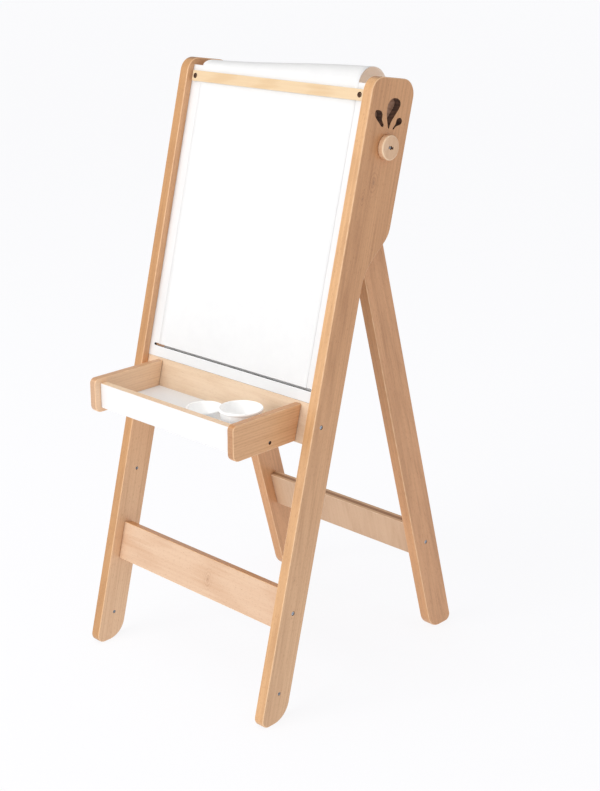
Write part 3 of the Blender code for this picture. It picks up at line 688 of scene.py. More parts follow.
for side, sign in SIDES:
    inner, outer = in_and_out(f"{side}_foot_insert", leaning, sign)
    insert(f"{side}_foot_insert", "front_frame", leaning, inner, outer, FOOT_INSERT_AT, 0.0030, 0.0017)
    inner, outer = in_and_out(f"{side}_spare_insert", leaning, sign)
    insert(f"{side}_spare_insert", "front_frame", leaning, outer, inner, SPARE_INSERT_AT, 0.0030, 0.0017)


# Top and stop beams: beech bars behind the board, each on a blind dowel at both ends. The top beam
# takes the clamp bar's screws and the stop beam is what the heads of the rear legs come to rest on.

def bar_piece(node, body, axes, finish, edge, holes=(), hole_finish=None):
    """A bar across the easel with rounded edges. Holes are (origin, direction, radius, depth)."""
    low, high = extent(node, axes)
    bar = object_of(node + "_bar", slab(oblong(low, high), low.x, high.x), axes, [finish])
    cutters = []
    for origin, direction, radius, deep in holes:
        profile = [(0.0006, 0.0), (0.0006, radius + 0.0007), (0.0, radius + 0.0003), (-0.0004, radius),
                   (-deep, radius), (-deep - radius * 0.5, 0.0)]
        cutters.append(cutter(facing(turned(profile, 24), origin, direction), axes, hole_finish or finish))
    shaped(bar, edge, 3, cutters)
    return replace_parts(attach(bar, body), node)


# Its upward faces are darkened as painted shade.
beam_beech = wood("beam_beech", BEECH_LIGHT, BEECH_DARK, BEECH_EDGE, "X", "Y", stave=0.040,
                  top_shade=(0.75, 0.66, 0.60))
CLAMP_SCREW_X, CLAMP_SCREW_UP = 0.206, 1.1271
DOWEL_PIN_RADIUS, FLUTES = 0.0040, 16
for beam in ("top_beam", "stop_beam"):
    low, high = extent(beam, leaning)
    middle = ((low.y + high.y) / 2, (low.z + high.z) / 2)
    holes = [((sign * high.x, *middle), (sign, 0, 0), 0.0043, 0.018) for sign in (-1, 1)]
    if beam == "top_beam":
        holes += [((sign * CLAMP_SCREW_X, low.y, CLAMP_SCREW_UP), (0, -1, 0), 0.0021, 0.0045)
                  for sign in (-1, 1)]
    bar_piece(beam, "front_frame", leaning, beam_beech, 0.0018, holes)
    for side, sign in SIDES:
        low, high = extent(f"{beam}_dowel_{side}", leaning)
        length, radius = high.x - low.x, DOWEL_PIN_RADIUS
        profile = [(0.0, 0.0), (0.0, radius - 0.0008), (0.0010, radius), (length - 0.0010, radius),
                   (length, radius - 0.0008), (length, 0.0)]
        pin = turned(profile, 32)
        for vertex in pin.verts:
            if 0.0005 < vertex.co.z < length - 0.0005:
                flute = math.cos(FLUTES * math.atan2(vertex.co.y, vertex.co.x)) < 0
                vertex.co.xy *= 0.95 if flute else 1.0
        dowel_pin = object_of(f"{beam}_pin_{side}", facing(pin, (low.x, *middle), (1, 0, 0)), leaning,
                              [beam_beech])
        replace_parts(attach(dowel_pin, "front_frame"), f"{beam}_dowel_{side}")


# Front stretcher: a solid beech bar near the feet, pulled against the rails by a bolt and a barrel nut
# at each end. The bolts' hexagon heads are let into the rails.

# Its upward faces are darkened and warmed as painted shade.
stretcher_beech = wood("stretcher_beech", (0.70, 0.485, 0.330), (0.585, 0.355, 0.215), BEECH_EDGE, "X", "Y",
                       stave=0.080, rings=0.30, top_shade=(0.90, 0.64, 0.385),
                       knots=((0.030, 0.020, 0.214, 0.0034),))


def barrel_nut(node, body, axes):
    """A cross dowel: a plated pin with a screwdriver slot in one end and a threaded cross hole."""
    low, high = extent(node, axes)
    radius, length = (high.x - low.x) / 2, high.y - low.y
    middle = ((low.x + high.x) / 2, low.y, (low.z + high.z) / 2)
    profile = [(0.0, 0.0), (0.0, radius - 0.0006), (0.0006, radius), (length - 0.0006, radius),
               (length, radius - 0.0006), (length, 0.0)]
    pin = object_of(node + "_part", facing(turned(profile, 28), middle, (0, 1, 0)), axes, [steel])
    cross = facing(rod(0.0028, -0.01, 0.01), (middle[0], (low.y + high.y) / 2 - 0.0016, middle[2]), (1, 0, 0))
    slot_low = Vector((0, high.y - 0.0009, middle[2] - 0.0006))
    slot_high = Vector((0, high.y + 0.001, middle[2] + 0.0006))
    driver_slot = slab(oblong(slot_low, slot_high), middle[0] - radius, middle[0] + radius)
    shaped(pin, cutters=[cutter(cross, axes, steel), cutter(driver_slot, axes, steel)])
    pin.data.set_sharp_from_angle(angle=math.radians(32))
    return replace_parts(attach(pin, body), node)


def bolted_bar(node, body, axes, finish, edge):
    """A stretcher with its two bolts and barrel nuts."""
    low, high = extent(node, axes)
    middle = ((low.y + high.y) / 2, (low.z + high.z) / 2)
    holes = []
    for sign in (-1, 1):
        holes += [((sign * high.x, *middle), (sign, 0, 0), 0.0028, 0.038),
                  ((sign * (high.x - 0.030), high.y, middle[1]), (0, 1, 0), 0.0053, high.y - low.y - 0.0045)]
    bar_piece(node, body, axes, finish, edge, holes)
    for side, sign in SIDES:
        barrel_nut(f"{node}_nut_{side}", body, axes)
        side_bolt(f"{node}_bolt_{side}", body, axes, middle, sign)


bolted_bar("front_stretcher", "front_frame", leaning, stretcher_beech, 0.0020)


# Tray beam: a birch plywood bar just below the board. It is the back wall of the tray, and is screwed
# through the rails at its ends and through to the tray's sides from behind.

def build_ply_edge():
    """Layers of a plywood's edge: light and dark veneers by turns, with thin dark glue lines."""
    tree, given, out = new_group("ply_edge", [("Depth", "Float", 0.0), ("Ply", "Float", 0.0015)],
                                 [("Dark ply", "Float"), ("Glue", "Float")])
    layer = sums(tree, "DIVIDE", given["Depth"], given["Ply"])
    tree.links.new(sums(tree, "MODULO", sums(tree, "ABSOLUTE", sums(tree, "FLOOR", layer)), 2.0),
                   out.inputs["Dark ply"])
    from_line = sums(tree, "ABSOLUTE", sums(tree, "SUBTRACT", sums(tree, "FRACT", layer), 0.5))
    tree.links.new(ramp(tree, from_line, 0.42, 0.48), out.inputs["Glue"])
    return tree


ply_edge = build_ply_edge()


def plywood(name, light, dark, grain, start, ply):
    """Plywood with its layers across Y: a veneer face, and layered edges from a starting depth."""
    made = wood(name, light, dark, (0.90, 0.70, 0.50), grain, "Y", stave=0.30, rings=0.24, flecks=0.35,
                end_tone=0.80, roughness=0.50)
    tree, shader = made.node_tree, made.node_tree.nodes["Principled BSDF"]
    face_colour = shader.inputs["Base Color"].links[0].from_socket
    where = add_node(tree, "ShaderNodeTexCoord").outputs
    place = add_node(tree, "ShaderNodeSeparateXYZ", {0: where["Object"]}).outputs
    normal = add_node(tree, "ShaderNodeSeparateXYZ", {0: where["Normal"]}).outputs
    wander = noise(tree, where["Object"], 25.0)
    depth = plus(tree, sums(tree, "SUBTRACT", place["Y"], start), times(tree, wander, 0.0005))
    layers = add_node(tree, "ShaderNodeGroup", {"Depth": depth}, node_tree=ply_edge)
    layers.inputs["Ply"].default_value = ply
    fibre = noise(tree, scaled(tree, where["Object"], (90, 1500, 90)), detail=3.0)
    edge_colour = blend_colour(tree, layers.outputs["Dark ply"], (0.66, 0.43, 0.26), (0.33, 0.165, 0.080))
    edge_colour = blend_colour(tree, times(tree, layers.outputs["Glue"], 0.8), edge_colour,
                               (0.26, 0.13, 0.07))
    edge_colour = blend_colour(tree, ramp(tree, fibre, 0.35, 0.75, 0.0, 0.3), edge_colour, (0.42, 0.24, 0.13))
    face_on = ramp(tree, sums(tree, "ABSOLUTE", normal["Y"]), 0.30, 0.62)
    tree.links.new(blend_colour(tree, face_on, edge_colour, face_colour), shader.inputs["Base Color"])
    return made


low, high = extent("tray_beam", leaning)
beam_ply = plywood("tray_beam_plywood", (0.77, 0.595, 0.430), (0.67, 0.475, 0.315), "X", low.y, 0.0020)
TRAY_SCREW_X, TRAY_SCREW_UP = 0.1835, 0.5500
holes = []
for sign in (-1, 1):
    holes += [((sign * high.x, *TRAY_BEAM_SCREW_AT), (sign, 0, 0), 0.0028, 0.031),
              ((sign * TRAY_SCREW_X, high.y, TRAY_SCREW_UP), (0, 1, 0), 0.0038, 0.0024),
              ((sign * TRAY_SCREW_X, high.y, TRAY_SCREW_UP), (0, 1, 0), 0.0018, 0.0130)]
bar_piece("tray_beam", "front_frame", leaning, beam_ply, 0.0010, holes)
for side, sign in SIDES:
    side_bolt(f"tray_beam_screw_{side}", "front_frame", leaning, TRAY_BEAM_SCREW_AT, sign)
    near, far = extent(f"tray_screw_{side}", leaning)
    fastener(f"tray_screw_{side}", "front_frame", leaning, (sign * TRAY_SCREW_X, near.y, TRAY_SCREW_UP),
             (sign * TRAY_SCREW_X, far.y, TRAY_SCREW_UP), shank=0.0015, head=0.0035, head_length=0.0023,
             recess=("cross", 0.0020, 0.0012))


# White board: a hard white melamine sheet held in the rails' grooves, with a long slot sawn across it
# near the bottom that takes the end of the paper.

def smooth_white(name, tone, shade, roughness, speckle=0.35, coat=0.2):
    """A hard white surface: faint clouding, fine pebbling and a few rubbed marks."""
    made, tree, shader, where = new_finish(name)
    cloud = noise(tree, where["Object"], 9.0, 3.0)
    rubbed = noise(tree, scaled(tree, where["Object"], (60, 60, 9)), detail=5.0)
    clouded = blend_colour(tree, ramp(tree, cloud, 0.35, 0.75), tone, shade)
    tree.links.new(clouded, shader.inputs["Base Color"])
    tree.links.new(ramp(tree, rubbed, 0.35, 0.75, roughness, roughness + 0.16), shader.inputs["Roughness"])
    shader.inputs["Coat Weight"].default_value = coat
    add_relief(tree, shader, noise(tree, where["Object"], 1400.0), speckle * 0.2, 0.0001)
    return made


melamine = smooth_white("white_melamine", (0.765, 0.77, 0.775), (0.745, 0.752, 0.758), 0.34)
# The slot's walls and the clamp screws' holes are painted near black as shade.
slot_shade_black = smooth_white("slot_shade_black", (0.022, 0.020, 0.019), (0.012, 0.011, 0.010), 0.85, 0.9, 0.0)
low, high = extent("board", leaning)
SLOT_UP, SLOT_THICK, SLOT_HALF = 0.6127, 0.0050, 0.208
board = object_of("board_panel", slab(oblong(low, high), low.x, high.x), leaning, [melamine, slot_shade_black])
slot_mesh = bmesh.new()
bmesh.ops.create_cube(slot_mesh, size=1.0)
bmesh.ops.scale(slot_mesh, vec=(2 * SLOT_HALF, 0.02, SLOT_THICK), verts=slot_mesh.verts)
bmesh.ops.translate(slot_mesh, vec=(0, (low.y + high.y) / 2, SLOT_UP), verts=slot_mesh.verts)
ends = [edge for edge in slot_mesh.edges if abs(edge.verts[0].co.y - edge.verts[1].co.y) > 0.01]
bmesh.ops.bevel(slot_mesh, geom=ends, offset=0.0014, segments=4, affect="EDGES")
cutters = [cutter(slot_mesh, leaning, slot_shade_black)]
for sign in (-1, 1):
    screw_way = facing(rod(0.0021, -0.01, 0.01), (sign * CLAMP_SCREW_X, high.y, CLAMP_SCREW_UP), (0, 1, 0))
    cutters.append(cutter(screw_way, leaning, slot_shade_black))
shaped(board, 0.0004, 2, cutters)
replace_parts(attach(board, "front_frame"), "board")


# Clamp bar: a slim pine strip across the board's top that holds the paper down, with a countersunk
# screw near each end.

pine = wood("pine", (0.72, 0.545, 0.345), (0.63, 0.430, 0.235), (0.92, 0.76, 0.53), "X", "Y", stave=0.3,
            rings=0.42, flecks=0.12, end_tone=0.75, roughness=0.44)
low, high = extent("clamp_bar", leaning)
holes = []
for sign in (-1, 1):
    holes += [((sign * CLAMP_SCREW_X, low.y, CLAMP_SCREW_UP), (0, -1, 0), 0.0047, 0.0024),
              ((sign * CLAMP_SCREW_X, low.y, CLAMP_SCREW_UP), (0, -1, 0), 0.0021, 0.0080)]
# The screw holes are painted dark brown as shade.
bar_piece("clamp_bar", "front_frame", leaning, pine, 0.0009, holes, recess_shade_wood)
for side, sign in SIDES:
    near, far = extent(f"clamp_screw_{side}", leaning)
    fastener(f"clamp_screw_{side}", "front_frame", leaning, (sign * CLAMP_SCREW_X, far.y, CLAMP_SCREW_UP),
             (sign * CLAMP_SCREW_X, near.y, CLAMP_SCREW_UP), shank=0.0018, head=0.0038, head_length=0.0018,
             recess=("cross", 0.0022, 0.0011), finish=dark_brown_steel)


# Paper roll: a roll of drawing paper wound on a brown card tube. It hangs loose on its shaft behind the
# board, and its ends show the layers as fine steps.

def paper_finish(name, tone, shade, fibre=0.4, see_through=0.0):
    """Uncoated paper: fine fibres, a faint cloudy look-through and a soft tooth."""
    made, tree, shader, where = new_finish(name)
    look = noise(tree, where["Object"], 45.0, 4.0)
    tooth = noise(tree, scaled(tree, where["Object"], (1400, 800, 800)))
    tree.links.new(blend_colour(tree, ramp(tree, look, 0.30, 0.75), tone, shade), shader.inputs["Base Color"])
    tree.links.new(ramp(tree, tooth, 0.3, 0.7, 0.72, 0.88), shader.inputs["Roughness"])
    add_relief(tree, shader, tooth, 0.25 * fibre, 0.0002)
    if see_through:
        height = add_node(tree, "ShaderNodeSeparateXYZ", {0: where["Object"]}).outputs["Z"]
        free = ramp(tree, height, 1.139, 1.152, 0.0, see_through)
        glow = add_node(tree, "ShaderNodeBsdfTranslucent", {"Color": (0.93, 0.90, 0.86, 1)})
        mixed = add_node(tree, "ShaderNodeMixShader", {0: free, 1: shader.outputs[0], 2: glow.outputs[0]})
        tree.links.new(mixed.outputs[0], tree.nodes["Material Output"].inputs["Surface"])
    return made


paper = paper_finish("drawing_paper", (0.93, 0.93, 0.93), (0.90, 0.902, 0.905))
loose_paper = paper_finish("loose_drawing_paper", (0.765, 0.77, 0.775), (0.75, 0.755, 0.762), 0.4, 0.06)
card = paper_finish("brown_card", (0.50, 0.37, 0.24), (0.42, 0.30, 0.19), 1.0)
roll_axes = leaning @ Matrix.Translation((0, *ROLL_AT))


def wound(node, inner, outer, finish, layers):
    """A hollow roll whose ends show their layers as fine steps."""
    low, high = extent(node, roll_axes)
    length = high.x - low.x
    step = (outer - inner) / layers
    left, right = [], []
    for layer in range(layers):
        set_back = 0.0005 * (0.5 + 0.5 * math.sin(layer * 2.4)) + 0.0003 * (layer % 2)
        radius = inner + layer * step
        left += [(set_back, radius + step * 0.12), (set_back, radius + step * 0.88)]
        right += [(length - set_back, radius + step * 0.12), (length - set_back, radius + step * 0.88)]
    profile = [(0.004, inner)] + left + [(0.004, outer), (length - 0.004, outer)] + right[::-1] + [
        (length - 0.004, inner)]
    made = object_of(node + "_winding", facing(turned(profile, 72), (low.x, 0, 0), (1, 0, 0)), roll_axes,
                     [finish])
    made.data.set_sharp_from_angle(angle=math.radians(40))
    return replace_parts(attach(made, "roll"), node)


ROLL_RADIUS = 0.0235
wound("roll_core", 0.0120, 0.0140, card, 4)
wound("paper_roll", 0.0143, ROLL_RADIUS, paper, 16)


# Roll shaft: a beech dowel through both rails, with a turned beech knob screwed to each end. The knob's
# screw sits in a small recess with a wedge-shaped notch on either side, both painted dark as shade.

shaft_beech = wood("shaft_beech", BEECH_LIGHT, BEECH_DARK, BEECH_EDGE, "X", "Y", stave=0.3, rings=0.2)
knob_beech = wood("knob_beech", (0.78, 0.515, 0.325), (0.64, 0.385, 0.220), (0.93, 0.72, 0.50), "Z", "X",
                  stave=0.3, rings=0.16, flecks=0.5, end_tone=0.9)
low, high = extent("roll_dowel", roll_axes)
length = high.x - low.x
DOWEL_RADIUS, PILOT_RADIUS, PILOT_DEEP = 0.0100, 0.0017, 0.022
profile = [(PILOT_DEEP, 0.0), (PILOT_DEEP, PILOT_RADIUS), (0.0, PILOT_RADIUS),
           (0.0, DOWEL_RADIUS - 0.0007), (0.0008, DOWEL_RADIUS), (0.14, DOWEL_RADIUS)]
profile += [(length - height, radius) for height, radius in reversed(profile)]
shaft = object_of("roll_shaft_dowel", facing(turned(profile, 48), (low.x, 0, 0), (1, 0, 0)), roll_axes,
                  [shaft_beech])
shaft.data.set_sharp_from_angle(angle=math.radians(40))
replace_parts(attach(shaft, "roll_shaft"), "roll_dowel")
KNOB_RADIUS, KNOB_ROUND, KNOB_RECESS, KNOB_RECESS_DEEP = 0.0220, 0.0030, 0.0033, 0.0050
for side, sign in SIDES:
    inner, outer = in_and_out(f"{side}_knob", roll_axes, sign)
    thick = abs(outer - inner)
    rim = [(thick + KNOB_ROUND * (math.sin(turn) - 1), KNOB_RADIUS + KNOB_ROUND * (math.cos(turn) - 1))
           for turn in [math.radians(angle) for angle in range(0, 91, 15)]]
    profile = ([(0.0, 0.0018), (0.0, KNOB_RADIUS - 0.0012), (0.0012, KNOB_RADIUS)] + rim
               + [(thick - 0.0002, KNOB_RADIUS - 0.0046), (thick - 0.0002, KNOB_RECESS + 0.0004),
                  (thick - 0.0006, KNOB_RECESS), (thick - KNOB_RECESS_DEEP, KNOB_RECESS),
                  (thick - KNOB_RECESS_DEEP, 0.0018)])
    knob = object_of(f"{side}_knob_turning", facing(turned(profile, 64), (inner, 0, 0), (sign, 0, 0)),
                     roll_axes, [knob_beech, recess_shade_wood])
    # The recess and the notches are painted dark as shade.
    for face in knob.data.polygons:
        in_recess = math.hypot(face.center.y, face.center.z) < KNOB_RECESS + 0.0001
        if in_recess and abs(face.center.x - inner) > thick - KNOB_RECESS_DEEP - 0.0002:
            face.material_index = 1
    wings = [cutter(slab([(0.0, 0.0), (way * 0.0062, 0.0030), (way * 0.0062, -0.0030)], outer - sign * 0.0016,
                         outer + sign * 0.001), roll_axes, recess_shade_wood) for way in (-1, 1)]
    shaped(knob, cutters=wings)
    knob.data.set_sharp_from_angle(angle=math.radians(50))
    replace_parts(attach(knob, "roll_shaft"), f"{side}_knob")
    tip, top = in_and_out(f"knob_screw_{side}", roll_axes, sign)
    fastener(f"knob_screw_{side}", "roll_shaft", roll_axes, (tip, 0, 0), (top, 0, 0), shank=0.0015,
             head=0.0030, head_length=0.0022, recess=("cross", 0.0019, 0.0012))


# Sheet: the paper comes up from the back of the roll, bends over the top of the easel, lies on the
# board under the clamp bar, and its end is tucked through the slot. The bend is lower on the left.

PAPER_HALF = 0.195
SHEET_THICK = 0.0003
BEND_UP, BEND_HALF, BEND_RISE_LEFT, BEND_RISE_RIGHT = 1.1475, 0.0371, 0.0160, 0.0330
FACE, TAIL_BACK, TAIL_LENGTH = 0.0136, 0.0285, 0.0352
SHEET_COLUMNS = 40


def sheet_stations(across):
    """Middle line of the sheet at a place from 0, its left edge, to 1, its right edge."""
    share = across * across * (3 - 2 * across)
    rise = BEND_RISE_LEFT + (BEND_RISE_RIGHT - BEND_RISE_LEFT) * (0.25 * across + 0.75 * share)
    wrap, start = ROLL_RADIUS + 0.0007, math.radians(-2.5)
    line = [(ROLL_AT[0] + wrap * math.cos(start), ROLL_AT[1] + wrap * math.sin(start))]
    bend_back = FACE + 2 * BEND_HALF
    line += [(line[0][0] + (bend_back - line[0][0]) * step / 8, line[0][1] + (BEND_UP - line[0][1]) * step / 8)
             for step in range(1, 8)]
    line += [(y, BEND_UP + (z - BEND_UP) * rise / BEND_HALF)
             for y, z in arc((FACE + BEND_HALF, BEND_UP), BEND_HALF, 0, math.pi, 28)]
    slot_top = SLOT_UP + SLOT_THICK / 2
    tail_top = slot_top - 0.0026
    line += [(FACE, BEND_UP + (slot_top - BEND_UP) * step / 40) for step in range(1, 40)]
    line += arc((FACE + 0.0005, slot_top - 0.0001), 0.0005, math.pi, 1.5 * math.pi, 5)
    line += arc((TAIL_BACK - 0.0020, tail_top), 0.0020, math.pi / 2, 0, 5)
    return line + [(TAIL_BACK, tail_top - TAIL_LENGTH * step / 4) for step in range(1, 5)]


sheet_mesh = bmesh.new()
columns = []
for column in range(SHEET_COLUMNS + 1):
    across = column / SHEET_COLUMNS
    columns.append([sheet_mesh.verts.new((-PAPER_HALF + 2 * PAPER_HALF * across, y, z))
                    for y, z in sheet_stations(across)])
for one, two in zip(columns, columns[1:]):
    for index in range(len(one) - 1):
        sheet_mesh.faces.new((one[index], two[index], two[index + 1], one[index + 1]))
middle_line = sheet_stations(0.5)
# Painted light: the inner faces of the bend glow warm, standing in for light bounced off the wood.
underside = paper_finish("paper_underside", (0.93, 0.91, 0.88), (0.91, 0.885, 0.85))
underside_shader = underside.node_tree.nodes["Principled BSDF"]
underside_shader.inputs["Emission Color"].default_value = (1.0, 0.84, 0.68, 1)
underside_shader.inputs["Emission Strength"].default_value = 0.26
sheet = object_of("paper_sheet_hung", sheet_mesh, leaning, [loose_paper, underside])
thicken = sheet.modifiers.new("thick", "SOLIDIFY")
thicken.thickness = SHEET_THICK
thicken.offset = 0
shaped(sheet)
bend_middle = Vector((0, FACE + BEND_HALF, BEND_UP - 0.02))
for face in sheet.data.polygons:
    inward = bend_middle - face.center
    inward.x = 0
    if face.center.z > BEND_UP - 0.01 and face.normal.dot(inward) > 0.5 * inward.length:
        face.material_index = 1
sheet.data.set_sharp_from_angle(angle=math.radians(50))
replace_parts(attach(sheet, "front_frame"), "paper_sheet")


# Hinges: each rear leg turns on a domed bolt that screws into a plated steel insert in the rail, with a
# white nylon washer between leg and rail.

nylon = smooth_white("nylon", (0.80, 0.80, 0.78), (0.74, 0.74, 0.71), 0.45, 0.6, 0.05)
HINGE_AT = (HINGE_BACK, HINGE_UP)
for side, sign in SIDES:
    inner, outer = in_and_out(f"pivot_insert_{side}", leaning, sign)
    insert(f"pivot_insert_{side}", "front_frame", leaning, inner, outer, HINGE_AT, 0.0060, 0.0047)
    low, high = extent(f"pivot_washer_{side}", leaning)
    thick = high.x - low.x
    profile = [(0.0, 0.0046), (0.0003, 0.0043), (thick - 0.0003, 0.0043), (thick, 0.0046), (thick, 0.0096),
               (thick - 0.0003, 0.0100), (0.0003, 0.0100), (0.0, 0.0096)]
    washer = object_of(f"pivot_washer_{side}_part",
                       facing(turned(profile, 40), (low.x, *HINGE_AT), (1, 0, 0)), leaning, [nylon])
    washer.data.set_sharp_from_angle(angle=math.radians(50))
    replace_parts(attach(washer, "front_frame"), f"pivot_washer_{side}")
    top, tip = in_and_out(f"pivot_bolt_{side}", leaning, sign)
    fastener(f"pivot_bolt_{side}", "front_frame", leaning, (tip, *HINGE_AT), (top, *HINGE_AT), shank=0.0040,
             head=0.0070, head_length=0.0042, recess=("hexagon", 0.0026, 0.0024), thread=0.0012)


# Rear legs: beech boards like the rails, a little darker, with a round head behind the hinge and a flat
# on it that comes to rest on the stop beam. The foot is cut to the floor.

leg_beech = wood("leg_beech", (0.68, 0.352, 0.170), (0.45, 0.208, 0.088), BEECH_EDGE, "Z", "X",
                 edge_grain=(0.92, 0.90, 0.82))
LEG_HALF, LEG_HEAD, STOP_DEPTH = 0.031, 0.030, 0.042
opened = LEAN + SPLAY
toe, heel = [-(hinge.z + depth * math.sin(SPLAY)) / math.cos(SPLAY) for depth in (-LEG_HALF, LEG_HALF)]
stop_at = (STOP_DEPTH - HINGE_BACK + LEG_HEAD * math.sin(opened)) / math.cos(opened)
stop_end = (HINGE_BACK - STOP_DEPTH - LEG_HALF * math.cos(opened)) / math.sin(opened)
leg_shape = rounded([(-LEG_HALF, toe, 0.036), (LEG_HALF, heel, 0.012), (LEG_HALF, LEG_HEAD, 0.028),
                     (stop_at, LEG_HEAD, 0.0), (-LEG_HALF, stop_end, 0.0)])
low, high = extent("rear_stretcher", splayed)
REAR_BOLT_AT = ((low.y + high.y) / 2, (low.z + high.z) / 2)
for side, sign in SIDES:
    inner, outer = in_and_out(f"{side}_leg", splayed, sign)
    leg = object_of(f"{side}_leg_board", slab(leg_shape, inner, outer), splayed, [leg_beech])
    cutters = [cutter(bored(at, radius, sign * way, surface, deep), splayed, leg_beech)
               for at, radius, way, surface, deep in (
                   ((0, 0), 0.0043, -1, inner, RIGHT_THROUGH),
                   (REAR_BOLT_AT, COUNTERBORE, 1, outer, COUNTERBORE_DEEP),
                   (REAR_BOLT_AT, BOLT_HOLE, -1, inner, RIGHT_THROUGH))]
    shaped(leg, 0.0022, 3, cutters)
    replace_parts(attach(leg, "rear_frame"), f"{side}_leg")


# Rear stretcher: a plywood bar between the rear legs whose top edge shows its layers, bolted like the
# front one.

low, high = extent("rear_stretcher", splayed)
stretcher_ply = plywood("rear_stretcher_plywood", (0.60, 0.395, 0.250), (0.50, 0.305, 0.178), "Z", low.y,
                        0.0060)
bolted_bar("rear_stretcher", "rear_frame", splayed, stretcher_ply, 0.0014)


# Tray floor: a white-faced panel between the sides, let in above their lower edge, with its back edge
# cut to the lean of the tray beam.

tray_white = smooth_white("tray_white", (0.765, 0.77, 0.78), (0.745, 0.75, 0.76), 0.36)
floor_white = smooth_white("tray_floor_white", (0.84, 0.855, 0.87), (0.80, 0.81, 0.82), 0.42)
TRAY_FRONT, TRAY_BOTTOM, TRAY_TOP = -0.010, 0.499, 0.565
BEAM_FRONT = 0.0133


def beam_face(height):
    """Depth of the tray beam's leaning front face at a height above the floor."""
    return front_foot_y + (BEAM_FRONT + height * math.sin(LEAN)) / math.cos(LEAN)


low, high = extent("tray_floor", level)
outline = [(low.y, low.z), (beam_face(low.z), low.z), (beam_face(high.z), high.z), (low.y, high.z)]
tray_floor = object_of("tray_floor_panel", slab(outline, low.x, high.x), level, [floor_white])
FLOOR_SCREW_AT = (front_foot_y + 0.0775, 0.5130)
cutters = [cutter(bored(FLOOR_SCREW_AT, 0.0018, sign, sign * high.x, 0.025), level, floor_white)
           for sign in (-1, 1)]
shaped(tray_floor, 0.0005, 2, cutters)
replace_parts(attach(tray_floor, "front_frame"), "tray_floor")


# Tray front: a narrow white-faced plywood panel with its raw wooden edge showing along the top.

low, high = extent("tray_front", level)
panel_edge = wood("tray_front_edge", (0.86, 0.64, 0.43), (0.70, 0.46, 0.28), (0.93, 0.78, 0.60), "X", "Z",
                  stave=0.3, rings=0.3, end_tone=0.9)
tray_front = object_of("tray_front_panel", slab(oblong(low, high), low.x, high.x), level,
                       [tray_white, panel_edge])
shaped(tray_front, 0.0009, 2)
for face in tray_front.data.polygons:
    if abs(face.normal.z) > 0.5 or abs(face.normal.x) > 0.5:
        face.material_index = 1
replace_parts(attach(tray_front, "front_frame"), "tray_front")


# Tray sides: two short beech boards with round front corners, butted against the tray beam and screwed
# to it from behind. A deep-set screw in each outer face holds the floor.

# The left side's beech is a lighter copy of the right side's, painted light for the light that falls on its
# inner face; both have their upward faces darkened as painted shade.
side_beech, lit_left_side_beech = [
    wood(name, light, dark, BEECH_EDGE, "Y", "X", stave=0.3, rings=0.26, flecks=0.5, top_shade=top_shade)
    for name, light, dark, top_shade in (
        ("tray_side_beech", (0.79, 0.465, 0.245), (0.59, 0.300, 0.140), (0.72, 0.60, 0.48)),
        ("left_tray_side_beech", (0.92, 0.63, 0.410), (0.74, 0.455, 0.270), (0.66, 0.54, 0.44)))]
side_front = front_foot_y + TRAY_FRONT
side_shape = rounded([(side_front, TRAY_BOTTOM, 0.014), (beam_face(TRAY_BOTTOM), TRAY_BOTTOM, 0.0),
                      (beam_face(TRAY_TOP), TRAY_TOP, 0.0), (side_front, TRAY_TOP, 0.010)])
for side, sign, side_finish in (("left", -1, lit_left_side_beech), ("right", 1, side_beech)):
    inner, outer = in_and_out(f"tray_side_{side}", level, sign)
    tray_side = object_of(f"tray_side_{side}_board", slab(side_shape, inner, outer), level, [side_finish])
    screw_at = (sign * TRAY_SCREW_X, BEAM_FRONT, TRAY_SCREW_UP)
    screw_way = facing(rod(0.0018, -0.035, 0.001), screw_at, (0, 1, 0))
    # The floor screw's counterbore is painted dark as shade.
    cutters = [cutter(bored(FLOOR_SCREW_AT, 0.0033, sign, outer, 0.0057), level, side_finish, recess_shade_wood,
                      recess_shade_wood),
               cutter(bored(FLOOR_SCREW_AT, 0.0018, -sign, inner, 0.016, 0.0002), level, side_finish),
               cutter(screw_way, leaning, side_finish)]
    shaped(tray_side, 0.0020, 3, cutters)
    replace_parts(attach(tray_side, "front_frame"), f"tray_side_{side}")
    tip, top = in_and_out(f"floor_screw_{side}", level, sign)
    fastener(f"floor_screw_{side}", "front_frame", level, (tip, *FLOOR_SCREW_AT), (top, *FLOOR_SCREW_AT),
             shank=0.0015, head=0.0030, head_length=0.0027, recess=("cross", 0.0019, 0.0012))


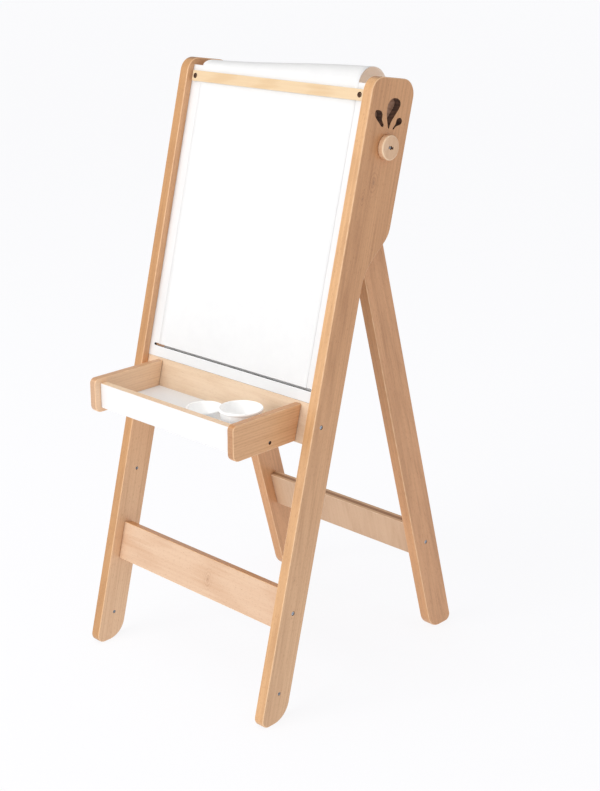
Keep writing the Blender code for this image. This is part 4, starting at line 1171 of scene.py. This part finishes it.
# Cups: two loose white plastic paint cups, a tall one and a low one, that stand on the tray's floor.
# Each is moulded with a thick round lip, a smooth bowl and a shallow foot.

cup_plastic = smooth_white("cup_plastic", (0.97, 0.97, 0.965), (0.955, 0.955, 0.95), 0.30, 0.5, 0.2)
cup_shader = cup_plastic.node_tree.nodes["Principled BSDF"]
# Painted light: a faint glow stands in for light passing through the plastic.
cup_shader.inputs["Emission Color"].default_value = (1.0, 0.99, 0.98, 1)
cup_shader.inputs["Emission Strength"].default_value = 0.05
CUP_LIP, CUP_WALL = 0.0055, 0.0024
for node, at, rim, height, base in (("large_cup", (0.1259, 0.0715), 0.0400, 0.0462, 0.0330),
                                    ("small_cup", (0.0388, 0.0660), 0.0345, 0.0277, 0.0290)):
    neck, inside = rim - 0.0030, rim - 0.0042
    low, high = extent(node, level)
    lip_ring = [(height + CUP_LIP / 2 * (math.sin(turn) - 1),
                 (rim + inside + math.cos(turn) * (rim - inside)) / 2)
                for turn in [math.radians(angle) for angle in range(-80, 181, 20)]]
    bowl = [(0.0030 + 0.0090 * (1 - math.cos(turn)), base - CUP_WALL - 0.0100 * (1 - math.sin(turn)))
            for turn in [math.radians(angle) for angle in range(80, -1, -16)]]
    foot = [(0.0, 0.0), (0.0006, base - 0.0100), (0.0006, base - 0.0060), (0.0, base - 0.0050),
            (0.0, base - 0.0018), (0.0007, base - 0.0005), (0.0020, base)]
    body_top = height - CUP_LIP
    wall = [(0.0020 + (body_top - 0.0020) * share, base + (neck - base) * share)
            for share in (0.25, 0.5, 0.75)]
    profile = (foot + wall + [(body_top - 0.0002, neck)] + lip_ring
               + [(height - CUP_LIP * 0.75, inside - 0.0002), (height - CUP_LIP * 1.6, inside - 0.0012)]
               + bowl + [(0.0030, 0.0)])
    cup_axes = Matrix.Translation((at[0], front_foot_y + at[1], low.z))
    cup = object_of(f"{node}_moulding", turned(profile, 72), cup_axes, [cup_plastic])
    cup.data.set_sharp_from_angle(angle=math.radians(60))
    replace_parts(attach(cup, node), node)
